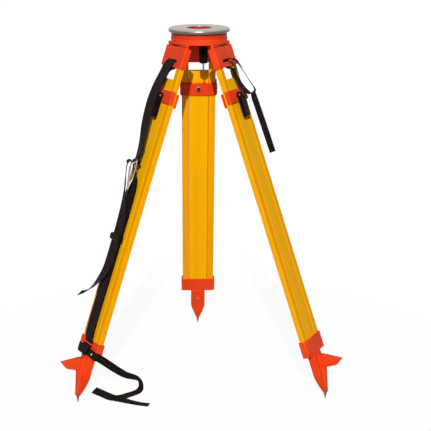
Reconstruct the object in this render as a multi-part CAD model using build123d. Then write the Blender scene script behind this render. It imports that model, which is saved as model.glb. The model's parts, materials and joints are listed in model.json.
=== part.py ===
from build123d import *
import os
from math import cos, radians, sin, tan

# Wooden surveying tripod: a round head on three hinged legs, each a sliding board between two rails.
# Millimetres, +Z up. The origin is on the ground, under the middle of the head.

# Stance
leg_bearings = {"rear": 90.0, "left": 210.0, "right": 330.0}
spread = 19.73                # lean of each leg from plumb, degrees

# Fits
pin_play = 0.05               # radial play of pins, screws and bolts in their holes
slide_play = 0.3              # gap at each side of a sliding or tilting piece
seat_gap = 0.2                # gap of a plug in its socket
slot_play = 0.1               # gap at each side of the bush in its slot
bore_past = 0.5               # depth of a blind hole past its screw's end

# Head plate
plate_dia = 156.0
plate_thick = 10.0
plate_edge = 1.5
head_opening = 64.0           # hole that the instrument's screw comes up through
plate_lip = 2.5

# Head casting
spigot_wall = 5.8
deck_thick = 6.0
ring_dia = 142.0
ring_wall = 7.0
ring_high = 12.0
groove_high = 1.5
groove_deep = 1.2
band_high = 13.5
band_proud = 1.0
ear_thick = 8.0
ear_boss = 6.5
ear_root = 3.0                # height of the ear's root inside the band
hinge_inset = 11.0            # hinge axis, inside the band's outer face
hinge_below_band = 14.8
hinge_pin_dia = 8.0

# Plate screws
plate_screw_count = 6
plate_screw_room = 5.0        # from a screw's head to the ring's wall
plate_screw_dia = 6.0
plate_screw_head = 10.0
plate_screw_head_high = 3.5
plate_screw_bite = 5.5

# Centring arm and screw
arm_room = 0.5                # from the arm's round end to the ring's wall
arm_bearing = 150.0
arm_wide = 32.0
arm_thick = 4.0
arm_slot_wide = 22.0
arm_end = 7.0
screw_near = 28.0             # nearest and furthest places of the screw, from the arm's pivot
screw_far = 62.0
screw_rest = 59.6
pivot_dia = 8.0
pivot_thread_dia = 6.0
pivot_head_dia = 15.0
pivot_head_high = 3.0
bush_long = 24.0
bush_flange_wide = 26.0
bush_flange_long = 30.0
bush_flange_thick = 2.2
stud_dia = 15.875             # 5/8 inch instrument thread
shank_dia = 17.0              # plain shank, where the screw turns in its bush
stud_sunk = 6.0               # stud's end, below the plate's top
stud_edge = 1.2
shoulder_dia = 25.0
shoulder_high = 4.5
screw_neck_dia = 15.0
screw_neck_high = 9.0
knob_dia = 22.0
knob_high = 54.0
knob_edge = 2.0
flute_count = 18
flute_dia = 2.4
hook_wire = 2.0
hook_wide = 5.0
hook_drop = 14.0
hook_sunk = 6.0

# Leg rails and board
rail_thick = 14.0
rail_wide = 18.5
rail_gap = 53.0
rail_length = 804.0
rail_edge = 1.2
window_high = 30.0            # open space between the cap and the board's top
tongue_wide = 32.0
tongue_thick = 10.0
tongue_long = 50.0

# Cap at the top of a leg
cap_face_wall = 3.0
cap_side_wall = 4.0
cap_above = 6.0
cap_floor_gap = 1.5
cap_floor = 3.0
cap_socket = 36.0
cap_edge = 4.0
cap_lead = 2.5                # relief of the outer wall's rim, for the widest spread
cap_lead_deep = 4.0
strap_slot_room = 3.0         # at each side of the strap
strap_slot_high = 6.5
strap_bar_high = 13.0

# Collar at the lower end of the rails
collar_socket = 39.0
collar_lip = 4.0
strap_loop_room = 4.0         # at each side of the strap
strap_loop_gap = 3.5
strap_loop_thick = 3.0
strap_loop_high = 3.5
strap_loop_post = 4.0
strap_loop_drop = 7.0

# Screws that hold the cap and the collar to the rails
rail_screw_dia = 3.5
rail_screw_head = 8.0
rail_screw_head_high = 2.5
rail_screw_long = 17.0

# Lever clamp
clamp_drop = 46.0             # clamp's bolt, below the board's top
clamp_high = 33.0
clamp_plate = 3.7
inner_plate_high = 37.0
inner_plate_drop = 5.0        # inner plate's middle, below the bolt
inner_plate_over = 4.5        # beyond the rails' sides
inner_plate_round = 6.0       # of its lower corners
clamp_flange = 3.2
clamp_flange_deep = 10.5
clamp_edge = 2.0
clamp_bolt_dia = 8.0
nut_across = 13.0
nut_high = 6.5
bolt_spare = 2.0
eye_dia = 13.0
eye_wide = 8.0
lever_standoff = 9.0          # lever pin, outside the clamp's plate
lever_pin_dia = 6.0
lever_pin_proud = 1.0
lever_wide = 24.0
lever_long = 58.0
lever_root_in = 6.0           # lever's faces beside its pin
lever_root_out = 4.0
lever_back = 1.5              # swell of the outer face over the pin
fork_deep = 10.5              # below the pin
lever_tip = 8.0
lever_tip_in = 2.0
cam_dia = 16.0
cam_throw = 0.6

# Foot
foot_gap = 0.3
foot_wide = 41.0
foot_back = 11.0              # inner face, from the leg's middle
foot_front = 10.0
foot_belly = 11.0
foot_length = 110.7
foot_taper = 60.0             # where the sides start to close
foot_end_wide = 8.0
foot_end_back = 7.0
foot_end_front = 4.5
keel_wide = 16.0
spur_top = 9.5
spur_reach = 73.0
spur_drop = 27.8
spur_toe = 56.0
spur_sole = 41.0
spur_root = 27.0
spur_fall = 1.5
keel_out = 21.5
foot_bolt_drop = 29.5
foot_bolt_dia = 6.0
foot_bolt_head = 12.0
foot_bolt_head_high = 4.0
foot_bolt_sunk = 10.0
tip_inset = 8.5               # ground point, behind the leg's middle
point_long = 17.0
point_dia = 8.0
point_flat = 1.6
point_shank = 16.0

# Straps
carry_wide = 40.0
carry_thick = 1.8
small_wide = 20.0
small_thick = 1.6
rivet_dia = 4.0
rivet_head = 8.0
rivet_head_high = 2.2
rivet_inset = 17.4            # from the collar's side face
buckle_wire = 4.0
buckle_room = 3.5             # at each side of the strap
buckle_turn = 28.7            # turn of the buckle about the leg's line, degrees
slider_wall = 1.6
slider_high = 18.0
slider_bar = 1.0
slider_proud = 7.0
slider_round = 5.5
slider_side = 0.4
strap_tab_out = 15.0          # loose end of the carrying strap on the collar
strap_tab_high = 5.0

# Heights on the head, from the plate's top
deck_top = -plate_thick
deck_low = deck_top - deck_thick
ring_low = deck_top - ring_high
band_top = ring_low - groove_high
band_low = band_top - band_high
hinge_drop = hinge_below_band - band_low
band_dia = ring_dia + 2 * band_proud
hinge_radius = band_dia / 2 - hinge_inset
ring_inside = ring_dia / 2 - ring_wall
plate_screw_circle = ring_inside - plate_screw_room - plate_screw_head / 2
arm_pivot_radius = ring_inside - arm_room - arm_wide / 2
arm_top = deck_low - slide_play
arm_low = arm_top - arm_thick
flange_top = arm_low - slide_play / 3
flange_low = flange_top - bush_flange_thick
shoulder_top = flange_low - slide_play / 3
knob_top = shoulder_top - shoulder_high - screw_neck_high
knob_low = knob_top - knob_high

# Places on a leg: x outwards, y across, z up along it from the hinge axis
half_rail = rail_thick / 2
half_gap = rail_gap / 2
half_leg = half_gap + rail_wide
half_cap_x = half_rail + cap_face_wall
half_cap_y = half_leg + cap_side_wall
cavity_floor = -ear_boss - cap_floor_gap
rail_top = cavity_floor - cap_floor
cap_low = rail_top - cap_socket
rail_low = rail_top - rail_length
collar_top = rail_low + collar_socket
collar_low = rail_low - collar_lip
foot_top = collar_low - foot_gap
foot_end = foot_top - foot_length
tip_reach = point_long - foot_end
board_top = cap_low - window_high
clamp_mid = board_top - clamp_drop
clamp_face = half_rail + slide_play
clamp_out = clamp_face + clamp_plate
lever_x = clamp_out + lever_standoff
cap_screw_z = (rail_top + cap_low) / 2
collar_screw_z = (collar_top + rail_low) / 2
strap_bar_top = cap_low + strap_bar_high
half_board_x = half_rail - slide_play
half_board_y = half_gap - slide_play
head_top = hinge_drop + tip_reach * cos(radians(spread)) + tip_inset * sin(radians(spread))


def block(x0, x1, y0, y1, z0, z1):
    """Box between two corners."""
    return Pos((x0 + x1) / 2, (y0 + y1) / 2, (z0 + z1) / 2) * Box(x1 - x0, y1 - y0, z1 - z0)


def slab(half_x, half_y, z0, z1):
    """Box on the leg's middle line."""
    return block(-half_x, half_x, -half_y, half_y, z0, z1)


def along_x(dia, x0, x1, y=0.0, z=0.0):
    return Pos((x0 + x1) / 2, y, z) * Rot(0, 90, 0) * Cylinder(dia / 2, x1 - x0)


def along_y(dia, y0, y1, x=0.0, z=0.0):
    return Pos(x, (y0 + y1) / 2, z) * Rot(90, 0, 0) * Cylinder(dia / 2, y1 - y0)


def along_z(dia, z0, z1, x=0.0, y=0.0):
    return Pos(x, y, (z0 + z1) / 2) * Cylinder(dia / 2, z1 - z0)


def hole(dia):
    """Diameter of the hole that a pin of this diameter turns in."""
    return dia + 2 * pin_play


def side_prism(outline, half_wide):
    """An outline of (x, z) points, thickened across the leg."""
    face = Plane.XZ * make_face(Polyline(*outline, close=True))
    return extrude(face, half_wide, both=True)


def front_prism(outline, x0, x1):
    """An outline of (y, z) points, thickened outwards from x0 to x1."""
    face = Plane.YZ * make_face(Polyline(*outline, close=True))
    return Pos(x0, 0, 0) * extrude(face, x1 - x0)


def around(count, start=0.0):
    return [Rot(0, 0, start + 360.0 * i / count) for i in range(count)]


def webbing(stations, wide, thick):
    """Ribbon through (point, across) stations, mitred where its route turns."""
    points = [Vector(*point) for point, _ in stations]
    last = len(points) - 1
    rings = []
    for i, (_, across) in enumerate(stations):
        after = (points[min(i + 1, last)] - points[min(i, last - 1)]).normalized()
        before = (points[max(i, 1)] - points[max(i - 1, 0)]).normalized()
        along = (before + after).normalized()
        across = Vector(*across)
        across = (across - along * across.dot(along)).normalized() * (wide / 2)
        up = along.cross(across).normalized() * (thick / 2 / along.dot(before))
        rings.append([points[i] + across + up, points[i] - across + up, points[i] - across - up,
                      points[i] + across - up])
    faces = [make_face(Polyline(*rings[end], close=True)).face() for end in (0, -1)]
    for near, far in zip(rings, rings[1:]):
        for i in range(4):
            j = (i + 1) % 4
            faces.append(Face.make_surface_from_curves(Edge.make_line(near[i], near[j]),
                                                       Edge.make_line(far[i], far[j])))
    return Part(Solid(Shell(faces)).wrapped)


# Head

def head_plate():
    plate = along_z(plate_dia, deck_top, 0)
    plate = chamfer(plate.edges().filter_by(GeomType.CIRCLE), plate_edge)
    spigot_dia = head_opening + 2 * spigot_wall
    plate -= along_z(head_opening, deck_top, 0)
    plate -= along_z(spigot_dia + 2 * seat_gap, deck_top, -plate_lip)
    for turn in around(plate_screw_count):
        plate -= turn * along_z(hole(plate_screw_dia), deck_top, deck_top + plate_screw_bite + bore_past,
                                plate_screw_circle)
    return plate


def head_casting():
    body = along_z(ring_dia, ring_low, deck_top)
    body += along_z(ring_dia - 2 * groove_deep, band_top, ring_low)
    body += along_z(band_dia, band_low, band_top)
    body -= along_z(2 * ring_inside, band_low, deck_low)
    body += along_z(head_opening + 2 * spigot_wall, deck_top, -plate_lip - seat_gap)
    ear_half = half_leg - slide_play
    for bearing in leg_bearings.values():
        ear = block(hinge_radius - ear_thick / 2, hinge_radius + ear_thick / 2, -ear_half, ear_half,
                    -hinge_drop, band_low + ear_root)
        ear += along_y(2 * ear_boss, -ear_half, ear_half, hinge_radius, -hinge_drop)
        body += Rot(0, 0, bearing) * ear
    for bearing in leg_bearings.values():
        bore = along_y(hole(hinge_pin_dia), -half_cap_y, half_cap_y, hinge_radius, -hinge_drop)
        body -= Rot(0, 0, bearing) * bore
    body -= along_z(head_opening, band_low, 0)
    for turn in around(plate_screw_count):
        body -= turn * along_z(hole(plate_screw_dia), deck_low, deck_top, plate_screw_circle)
    body -= Rot(0, 0, arm_bearing) * along_z(hole(pivot_thread_dia), deck_low, deck_top, arm_pivot_radius)
    return body


def plate_screws():
    screws = []
    for turn in around(plate_screw_count):
        screw = along_z(plate_screw_dia, deck_low, deck_top + plate_screw_bite, plate_screw_circle)
        screw += along_z(plate_screw_head, deck_low - plate_screw_head_high, deck_low, plate_screw_circle)
        screw -= along_z(plate_screw_dia / 2, deck_low - plate_screw_head_high,
                         deck_low - plate_screw_head_high / 3, plate_screw_circle)
        screws.append((turn * screw).solid())
    return Compound(screws)


def arm_place(reach, height):
    """A place along the centring arm, from its pivot towards the middle of the head."""
    return Rot(0, 0, arm_bearing) * Pos(arm_pivot_radius - reach, 0, height) * Rot(0, 0, 180)


def centring_arm():
    near = screw_near - bush_long / 2 - slide_play
    far = screw_far + bush_long / 2 + slide_play
    arm = block(0, far + arm_end, -arm_wide / 2, arm_wide / 2, -arm_thick, 0)
    arm = fillet(arm.edges().filter_by(Axis.Z).group_by(Axis.X)[-1], arm_end)
    arm += along_z(arm_wide, -arm_thick, 0)
    arm -= block(near, far, -arm_slot_wide / 2, arm_slot_wide / 2, -arm_thick, 0)
    arm -= along_z(hole(pivot_dia), -arm_thick, 0)
    return arm_place(0, arm_top) * arm


def arm_pivot():
    head_high = arm_low - slide_play
    pivot = along_z(pivot_thread_dia, deck_low, deck_top)
    pivot += along_z(pivot_dia, head_high, deck_low)
    pivot += along_z(pivot_head_dia, head_high - pivot_head_high, head_high)
    return arm_place(0, 0) * pivot


def screw_bush():
    half_wide = arm_slot_wide / 2 - slot_play
    bush = block(-bush_long / 2, bush_long / 2, -half_wide, half_wide, flange_top, arm_top)
    bush += block(-bush_flange_long / 2, bush_flange_long / 2, -bush_flange_wide / 2, bush_flange_wide / 2,
                  flange_low, flange_top)
    bush -= along_z(hole(shank_dia), flange_low, arm_top)
    return arm_place(screw_rest, 0) * bush


def centring_screw():
    screw = along_z(stud_dia, arm_top, -stud_sunk)
    screw = chamfer(screw.faces().sort_by(Axis.Z)[-1].edges(), stud_edge)
    screw += along_z(shank_dia, shoulder_top, arm_top)
    screw += along_z(shoulder_dia, shoulder_top - shoulder_high, shoulder_top)
    screw += along_z(screw_neck_dia, knob_top, shoulder_top - shoulder_high)
    knob = along_z(knob_dia, knob_low, knob_top)
    knob = chamfer(knob.edges().filter_by(GeomType.CIRCLE), knob_edge)
    for turn in around(flute_count):
        knob -= turn * along_z(flute_dia, knob_low + 2 * knob_edge, knob_top - 2 * knob_edge, knob_dia / 2)
    screw += knob
    for side in (-1, 1):
        screw -= along_z(hole(hook_wire), knob_low, knob_low + hook_sunk + bore_past, 0,
                         side * hook_wide / 2)
    return arm_place(screw_rest, 0) * screw


def plumb_hook():
    top, bend = knob_low + hook_sunk, knob_low - hook_drop
    half = hook_wide / 2
    path = Line((0, -half, top), (0, -half, bend))
    path += ThreePointArc((0, -half, bend), (0, 0, bend - half), (0, half, bend))
    path += Line((0, half, bend), (0, half, top))
    hook = sweep(Pos(0, -half, top) * Circle(hook_wire / 2), path)
    return arm_place(screw_rest, 0) * hook


# Upper leg

def cap():
    body = slab(half_cap_x, half_cap_y, cap_low, cap_above)
    body = fillet(body.edges().filter_by(Axis.Z), cap_edge)
    body -= slab(half_rail, half_leg, cavity_floor, cap_above)
    body -= slab(half_rail, half_leg, cap_low, rail_top)
    lead_low = cap_above - cap_lead_deep
    lead = [(half_rail, lead_low), (half_rail + cap_lead, cap_above), (half_rail, cap_above)]
    body -= side_prism(lead, half_leg)
    slot_half = carry_wide / 2 + strap_slot_room
    body -= block(half_rail, half_cap_x, -slot_half, slot_half, strap_bar_top,
                  strap_bar_top + strap_slot_high)
    body -= along_y(hole(hinge_pin_dia), -half_cap_y, half_cap_y)
    for screw in rail_screw_holes(cap_screw_z):
        body -= screw
    return body


def hinge_pin():
    return along_y(hinge_pin_dia, -half_cap_y, half_cap_y)


def rail_screw(z, side, play=0.0, past=0.0):
    """Countersunk screw through a side wall into a rail, or its hole when it has play."""
    head, shank = rail_screw_head / 2 + play, rail_screw_dia / 2 + play
    inner = half_cap_y - rail_screw_long - past
    outline = [(0, half_cap_y), (head, half_cap_y), (shank, half_cap_y - rail_screw_head_high),
               (shank, inner), (0, inner)]
    turned = revolve(make_face(Polyline(*outline, close=True)), Axis.Y)
    return Pos(0, 0, z) * (turned if side > 0 else Rot(0, 0, 180) * turned)


def rail_screw_holes(z):
    return [rail_screw(z, side, pin_play, bore_past) for side in (-1, 1)]


def rail_screws():
    return Compound([rail_screw(z, side).solid() for z in (cap_screw_z, collar_screw_z) for side in (-1, 1)])


def rail(side):
    low, high = sorted((side * half_gap, side * half_leg))
    bar = block(-half_rail, half_rail, low, high, rail_low, rail_top)
    bar = chamfer(bar.edges().filter_by(Axis.Z), rail_edge)
    for z in (cap_screw_z, collar_screw_z):
        bar -= rail_screw(z, side, pin_play, bore_past)
    return bar


def collar(strapped):
    body = slab(half_cap_x, half_cap_y, collar_low, collar_top)
    body = fillet(body.edges().filter_by(Axis.Z), cap_edge)
    body -= slab(half_rail, half_leg, rail_low, collar_top)
    body -= slab(half_rail, half_gap, collar_low, rail_low)
    for screw in rail_screw_holes(collar_screw_z):
        body -= screw
    if strapped:
        body += strap_loop()
        body -= along_x(hole(rivet_dia), half_rail, half_cap_x, half_cap_y - rivet_inset, tie_z)
    return body


def strap_loop():
    """Bar on the outer face of a collar, behind which a strap passes."""
    high = collar_top - strap_loop_drop
    low = high - strap_loop_high
    out = half_cap_x + strap_loop_gap + strap_loop_thick
    inside = carry_wide / 2 + strap_loop_room
    post = inside + strap_loop_post
    loop = block(half_cap_x, out, -post, post, low, high)
    return loop - block(half_cap_x, half_cap_x + strap_loop_gap, -inside, inside, low, high)


# Lower leg

def board():
    body = slab(half_board_x, half_board_y, foot_top, board_top)
    body = chamfer(body.edges().filter_by(Axis.Z), rail_edge)
    body += slab(tongue_thick / 2, tongue_wide / 2, foot_top - tongue_long, foot_top)
    body -= along_x(hole(clamp_bolt_dia), -half_rail, half_rail, 0, clamp_mid)
    body -= along_x(hole(foot_bolt_dia), -half_rail, half_rail, 0, foot_top - foot_bolt_drop)
    return body


def clamp_outer_plate():
    half_wide = half_leg + slide_play + clamp_flange
    low, high = clamp_mid - clamp_high / 2, clamp_mid + clamp_high / 2
    plate = block(clamp_out - clamp_flange_deep, clamp_out, -half_wide, half_wide, low, high)
    plate = fillet(plate.edges().filter_by(Axis.Z).group_by(Axis.X)[-1], clamp_edge)
    plate -= block(clamp_out - clamp_flange_deep, clamp_face, -half_leg - slide_play, half_leg + slide_play,
                   low, high)
    return plate - along_x(hole(clamp_bolt_dia), clamp_face, clamp_out, 0, clamp_mid)


def clamp_inner_plate():
    half_wide = half_leg + inner_plate_over
    middle = clamp_mid - inner_plate_drop
    plate = block(-clamp_out, -clamp_face, -half_wide, half_wide, middle - inner_plate_high / 2,
                  middle + inner_plate_high / 2)
    plate = fillet(plate.edges().filter_by(Axis.X).group_by(Axis.Z)[0], inner_plate_round)
    plate = fillet(plate.edges().filter_by(Axis.X).group_by(Axis.Z)[-1], clamp_edge)
    return plate - along_x(hole(clamp_bolt_dia), -clamp_out, -clamp_face, 0, clamp_mid)


def clamp_bolt():
    back = -clamp_out - nut_high - bolt_spare
    bolt = along_x(clamp_bolt_dia, back, lever_x, 0, clamp_mid)
    bolt += along_y(eye_dia, -eye_wide / 2, eye_wide / 2, lever_x, clamp_mid)
    bolt -= along_y(hole(lever_pin_dia), -eye_wide, eye_wide, lever_x, clamp_mid)
    nut = Plane.YZ * RegularPolygon(nut_across / 2, 6, major_radius=False)
    nut = Pos(-clamp_out - nut_high, 0, clamp_mid) * extrude(nut, nut_high)
    nut -= along_x(hole(clamp_bolt_dia), -clamp_out - nut_high, -clamp_out, 0, clamp_mid)
    return Compound([bolt.solid(), nut.solid()])


def clamp_lever():
    half = lever_wide / 2
    cam_x = lever_x - cam_throw
    body = along_y(cam_dia, -half, half, cam_x, clamp_mid)
    root_in, root_out = lever_x - lever_root_in, lever_x + lever_root_out
    tip_x = lever_x - lever_tip_in
    tip_z = clamp_mid - lever_long
    arm = [(root_in, clamp_mid), (root_out + lever_back, clamp_mid), (root_out, clamp_mid - lever_long / 3),
           (tip_x + lever_tip / 2, tip_z), (tip_x - lever_tip / 2, tip_z)]
    arm = side_prism(arm, half)
    arm = fillet(arm.edges().filter_by(Axis.Y).group_by(Axis.Z)[0], lever_tip / 3)
    body += arm
    fork = eye_wide / 2 + slide_play
    body -= block(lever_x - cam_dia, lever_x + cam_dia, -fork, fork, clamp_mid - fork_deep,
                  clamp_mid + cam_dia)
    return body - along_y(hole(lever_pin_dia), -half, half, lever_x, clamp_mid)


def lever_pin():
    half = lever_wide / 2 + lever_pin_proud
    pin = along_y(lever_pin_dia, -half, half, lever_x, clamp_mid)
    return chamfer(pin.edges().filter_by(GeomType.CIRCLE), lever_pin_proud / 2)


def point_place():
    """The steel point's own frame: its tip at the origin and plumb when the leg is spread."""
    return Pos(-tip_inset, 0, -tip_reach) * Rot(0, spread, 0)


def foot():
    half, end_half, keel_half = foot_wide / 2, foot_end_wide / 2, keel_wide / 2
    waist = foot_top - foot_taper
    side = [(-foot_back, foot_top), (foot_front, foot_top), (foot_belly, foot_top - spur_top),
            (foot_belly, foot_top - spur_sole), (foot_end_front, foot_end), (-foot_end_back, foot_end),
            (-foot_back, foot_end + foot_length / 4)]
    front = [(-half, foot_top), (half, foot_top), (half, waist), (end_half, foot_end), (-end_half, foot_end),
             (-half, waist)]
    keel = [(0, foot_top - spur_top / 2), (spur_root, foot_top - spur_top),
            (spur_reach, foot_top - spur_drop), (spur_toe, foot_top - spur_sole),
            (keel_out, foot_top - spur_sole - spur_fall), (foot_end_front, foot_end), (0, foot_end)]
    body = side_prism(side, half) & front_prism(front, -foot_back, foot_belly)
    taper = [(-keel_half, foot_top), (keel_half, foot_top), (keel_half, waist), (end_half, foot_end),
             (-end_half, foot_end), (-keel_half, waist)]
    body += side_prism(keel, keel_half) & front_prism(taper, 0, spur_reach)
    body -= slab(tongue_thick / 2 + seat_gap, tongue_wide / 2 + seat_gap,
                 foot_top - tongue_long - seat_gap, foot_top)
    body -= along_x(hole(foot_bolt_dia), -foot_back, foot_bolt_sunk + bore_past, 0,
                    foot_top - foot_bolt_drop)
    shank_end = point_long / cos(radians(spread)) + point_shank
    return body - point_place() * along_z(hole(point_dia), 0, shank_end + seat_gap)


def foot_point():
    bare = point_long / cos(radians(spread)) - point_dia / 2 * tan(radians(spread))
    point = Pos(0, 0, bare / 2) * Cone(point_flat / 2, point_dia / 2, bare)
    point += along_z(point_dia, bare, point_long / cos(radians(spread)) + point_shank)
    return point_place() * point


def foot_bolt():
    z = foot_top - foot_bolt_drop
    bolt = along_x(foot_bolt_dia, -foot_back, foot_bolt_sunk, 0, z)
    head = along_x(foot_bolt_head, -foot_back - foot_bolt_head_high, -foot_back, 0, z)
    head = fillet(head.faces().sort_by(Axis.X)[0].edges(), foot_bolt_head_high / 3)
    return bolt + head


# Straps, as (x, z) or (x, z, turn) points on the middle plane of a leg, with the turn in degrees

loop_x = half_rail - 1.0 - carry_thick / 2       # behind the bar of the cap
bar_loop = [(half_cap_x - 0.5, cap_low - 4.5), (loop_x + 0.2, cap_low - 2.0),
            (loop_x, strap_bar_top + 1.0), (half_rail + 1.2, strap_bar_top + 3.4)]
buckle_top = (26.4, -299.0)
buckle_mid = (39.5, -314.0)
buckle_low = (30.0, -371.0)
buckle_outer = [buckle_top, (35.0, -304.5), buckle_mid, (38.5, -329.0), (35.0, -343.0), buckle_low]
buckle_inner = [buckle_top, (24.6, -318.0), (24.4, -345.0), buckle_low]
inner_ply = 16.0
outer_ply = 19.5
slider_mid = -502.5
carry_down = [(14.5, -36.0, 0), (24.8, -74.0, 0), (30.6, -100.0, 0), (33.6, -122.0, 0),
              (35.0, -142.0, 0), (34.6, -167.0, 0), (33.2, -195.0, 2), (30.6, -220.0, 5),
              (27.4, -246.0, 10), (26.4, -272.0, 15), (28.0, -287.0, 21), (30.7, -298.0, buckle_turn)]
carry_return = [(29.8, -301.9, buckle_turn), (26.4, -303.2, buckle_turn), (23.0, -301.9, buckle_turn),
                (22.0, -299.0, buckle_turn), (23.8, -286.0, 20), (23.8, -258.0, 12)]
strap_rise = [(half_cap_x + strap_tab_out, collar_low + strap_tab_high, 0),
              (half_cap_x + strap_tab_out * 0.73, collar_low + strap_tab_high * 3.8, 0),
              (half_cap_x + strap_loop_gap / 2, collar_top - strap_loop_drop - strap_loop_high - 2.0, 0),
              (half_cap_x + strap_loop_gap / 2, collar_top - strap_loop_drop + 2.0, 0),
              (inner_ply, collar_top + 11.0, 0), (inner_ply, -565.0, 0), (inner_ply, -400.0, 0),
              (17.0, -352.0, 8), (21.5, -330.0, 18), (29.0, -317.0, 26), (35.0, -309.0, buckle_turn),
              (40.5, -304.6, buckle_turn), (46.0, -305.2, buckle_turn), (49.2, -310.0, buckle_turn),
              (49.8, -318.0, buckle_turn), (48.4, -328.0, buckle_turn), (44.2, -344.0, 28),
              (41.0, -358.0, 26), (36.6, -377.0, 26), (30.6, -400.0, 18), (25.0, -424.0, 8),
              (21.0, -450.0, 0), (outer_ply, -485.0, 0), (outer_ply, -520.0, 0), (20.0, -565.0, 0)]
strap_tail = [((25.0, 0.0, -595.0), (0.12, 0.99, 0.0)), ((36.0, 0.0, -620.0), (0.3, 0.95, 0.05)),
              ((47.0, 0.0, -639.0), (0.45, 0.89, 0.08)), ((61.6, 0.0, -654.0), (0.52, 0.85, 0.1)),
              ((78.4, 0.0, -662.0), (0.55, 0.83, 0.1))]
closing_tail = [((57.2, 0.0, -286.0), (0.35, 0.94, 0.0)), ((56.2, 0.0, -246.0), (0.38, 0.92, 0.0)),
                ((55.1, 0.0, -206.0), (0.38, 0.92, 0.0)), ((53.8, 0.0, -165.0), (0.35, 0.94, 0.0)),
                ((52.8, 0.0, -138.0), (0.3, 0.95, 0.0)), ((54.0, 0.0, -129.0), (0.1, 0.99, 0.0)),
                ((61.0, 0.0, -121.0), (-0.3, 0.95, 0.0)), ((54.0, 0.0, -99.0), (-0.45, 0.89, 0.0)),
                ((45.4, 0.0, -69.5), (-0.45, 0.89, 0.0)), ((38.0, 0.0, -48.0), (-0.3, 0.95, 0.0)),
                ((31.6, 0.0, -36.0), (-0.1, 0.99, 0.0)), ((21.0, 0.0, -31.0), (0.0, 1.0, 0.0))]
closing_return = [(18.0, -57.0), (21.0, -79.0), (29.0, -104.0), (39.0, -122.0), (45.0, -129.0)]
tie_z = collar_low + 12.0
tie_drop = 6.0                # fall of the tie strap from the collar's outer face to its inner edge
tie_ground = small_thick / 2 + slide_play
tie_over = tie_ground + small_thick + slide_play
tie_air = [((-203.0, -166.0, 68.0), (0.1, -0.4, 0.9)), ((-174.0, -136.0, 43.0), (0.25, -0.6, 0.75)),
           ((-162.0, -122.0, 25.0), (0.5, -0.8, 0.3)), ((-161.0, -119.0, 9.0), (0.64, -0.76, 0.0)),
           ((-166.0, -125.0, 2.4), (0.66, -0.75, 0.0))]
tie_under = [(-176.0, -140.0), (-192.0, -153.0), (-208.0, -166.0), (-224.0, -175.0), (-240.0, -171.0),
             (-258.0, -154.0), (-283.0, -129.0)]
tie_back = [(-258.0, -154.0), (-240.0, -171.0), (-222.0, -181.0), (-199.0, -191.0), (-166.0, -203.0),
            (-138.0, -212.0)]


def across_leg(points):
    """Stations for (x, z, turn) points, with the strap's width turned from the line across the leg."""
    return [((x, 0.0, z), (sin(radians(turn)), cos(radians(turn)), 0.0)) for x, z, turn in points]


def unturned(points):
    return [(x, z, 0) for x, z in points]


def upper_strap():
    sewn_end = (27.4, -95.0)
    route = unturned([sewn_end] + bar_loop) + carry_down + carry_return
    return webbing(across_leg(route), carry_wide, carry_thick)


def lower_strap():
    return webbing(across_leg(strap_rise) + strap_tail, carry_wide, carry_thick)


def closing_strap():
    loop = across_leg(unturned(bar_loop[::-1] + closing_return))
    return webbing(closing_tail + loop, small_wide, small_thick)


def buckle_limb(points, bend):
    """Bent wire through (x, z) points."""
    route = FilletPolyline(*[(x, 0, z) for x, z in points], radius=bend)
    start = Plane(origin=route @ 0, z_dir=route % 0)
    return sweep(start * Circle(buckle_wire / 2), route)


def strap_buckle():
    """Wire frame of three bars between two cheeks. The lower strap goes over the middle bar."""
    half = carry_wide / 2 + buckle_room
    turned = Rot(0, 0, -buckle_turn)
    aside = (turned * Pos(0, half + buckle_wire / 2, 0)).position
    frame = None
    for x, z in (buckle_top, buckle_mid, buckle_low):
        bar = Pos(x, 0, z) * turned * along_y(buckle_wire, -half - buckle_wire, half + buckle_wire)
        frame = bar if frame is None else frame + bar
    cheek = buckle_limb(buckle_outer, buckle_wire) + buckle_limb(buckle_inner, 2 * buckle_wire)
    for offset in (aside, -aside):
        frame += Pos(*offset) * cheek
    return frame


def strap_slider():
    half_y = carry_wide / 2 + slider_side
    low, high = slider_mid - slider_high / 2, slider_mid + slider_high / 2
    rest = carry_thick / 2 + slide_play
    inner, outer = inner_ply - rest, outer_ply + rest
    body = block(inner - slider_wall / 2, outer + slider_proud, -half_y - slider_wall, half_y + slider_wall,
                 low, high)
    body = fillet(body.edges().filter_by(Axis.Y).group_by(Axis.X)[-1], slider_round)
    middle = (inner_ply + outer_ply) / 2
    body -= block(inner, middle - slider_bar / 2, -half_y, half_y, low, high)
    body -= block(middle + slider_bar / 2, outer, -half_y, half_y, low, high)
    return body


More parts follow.
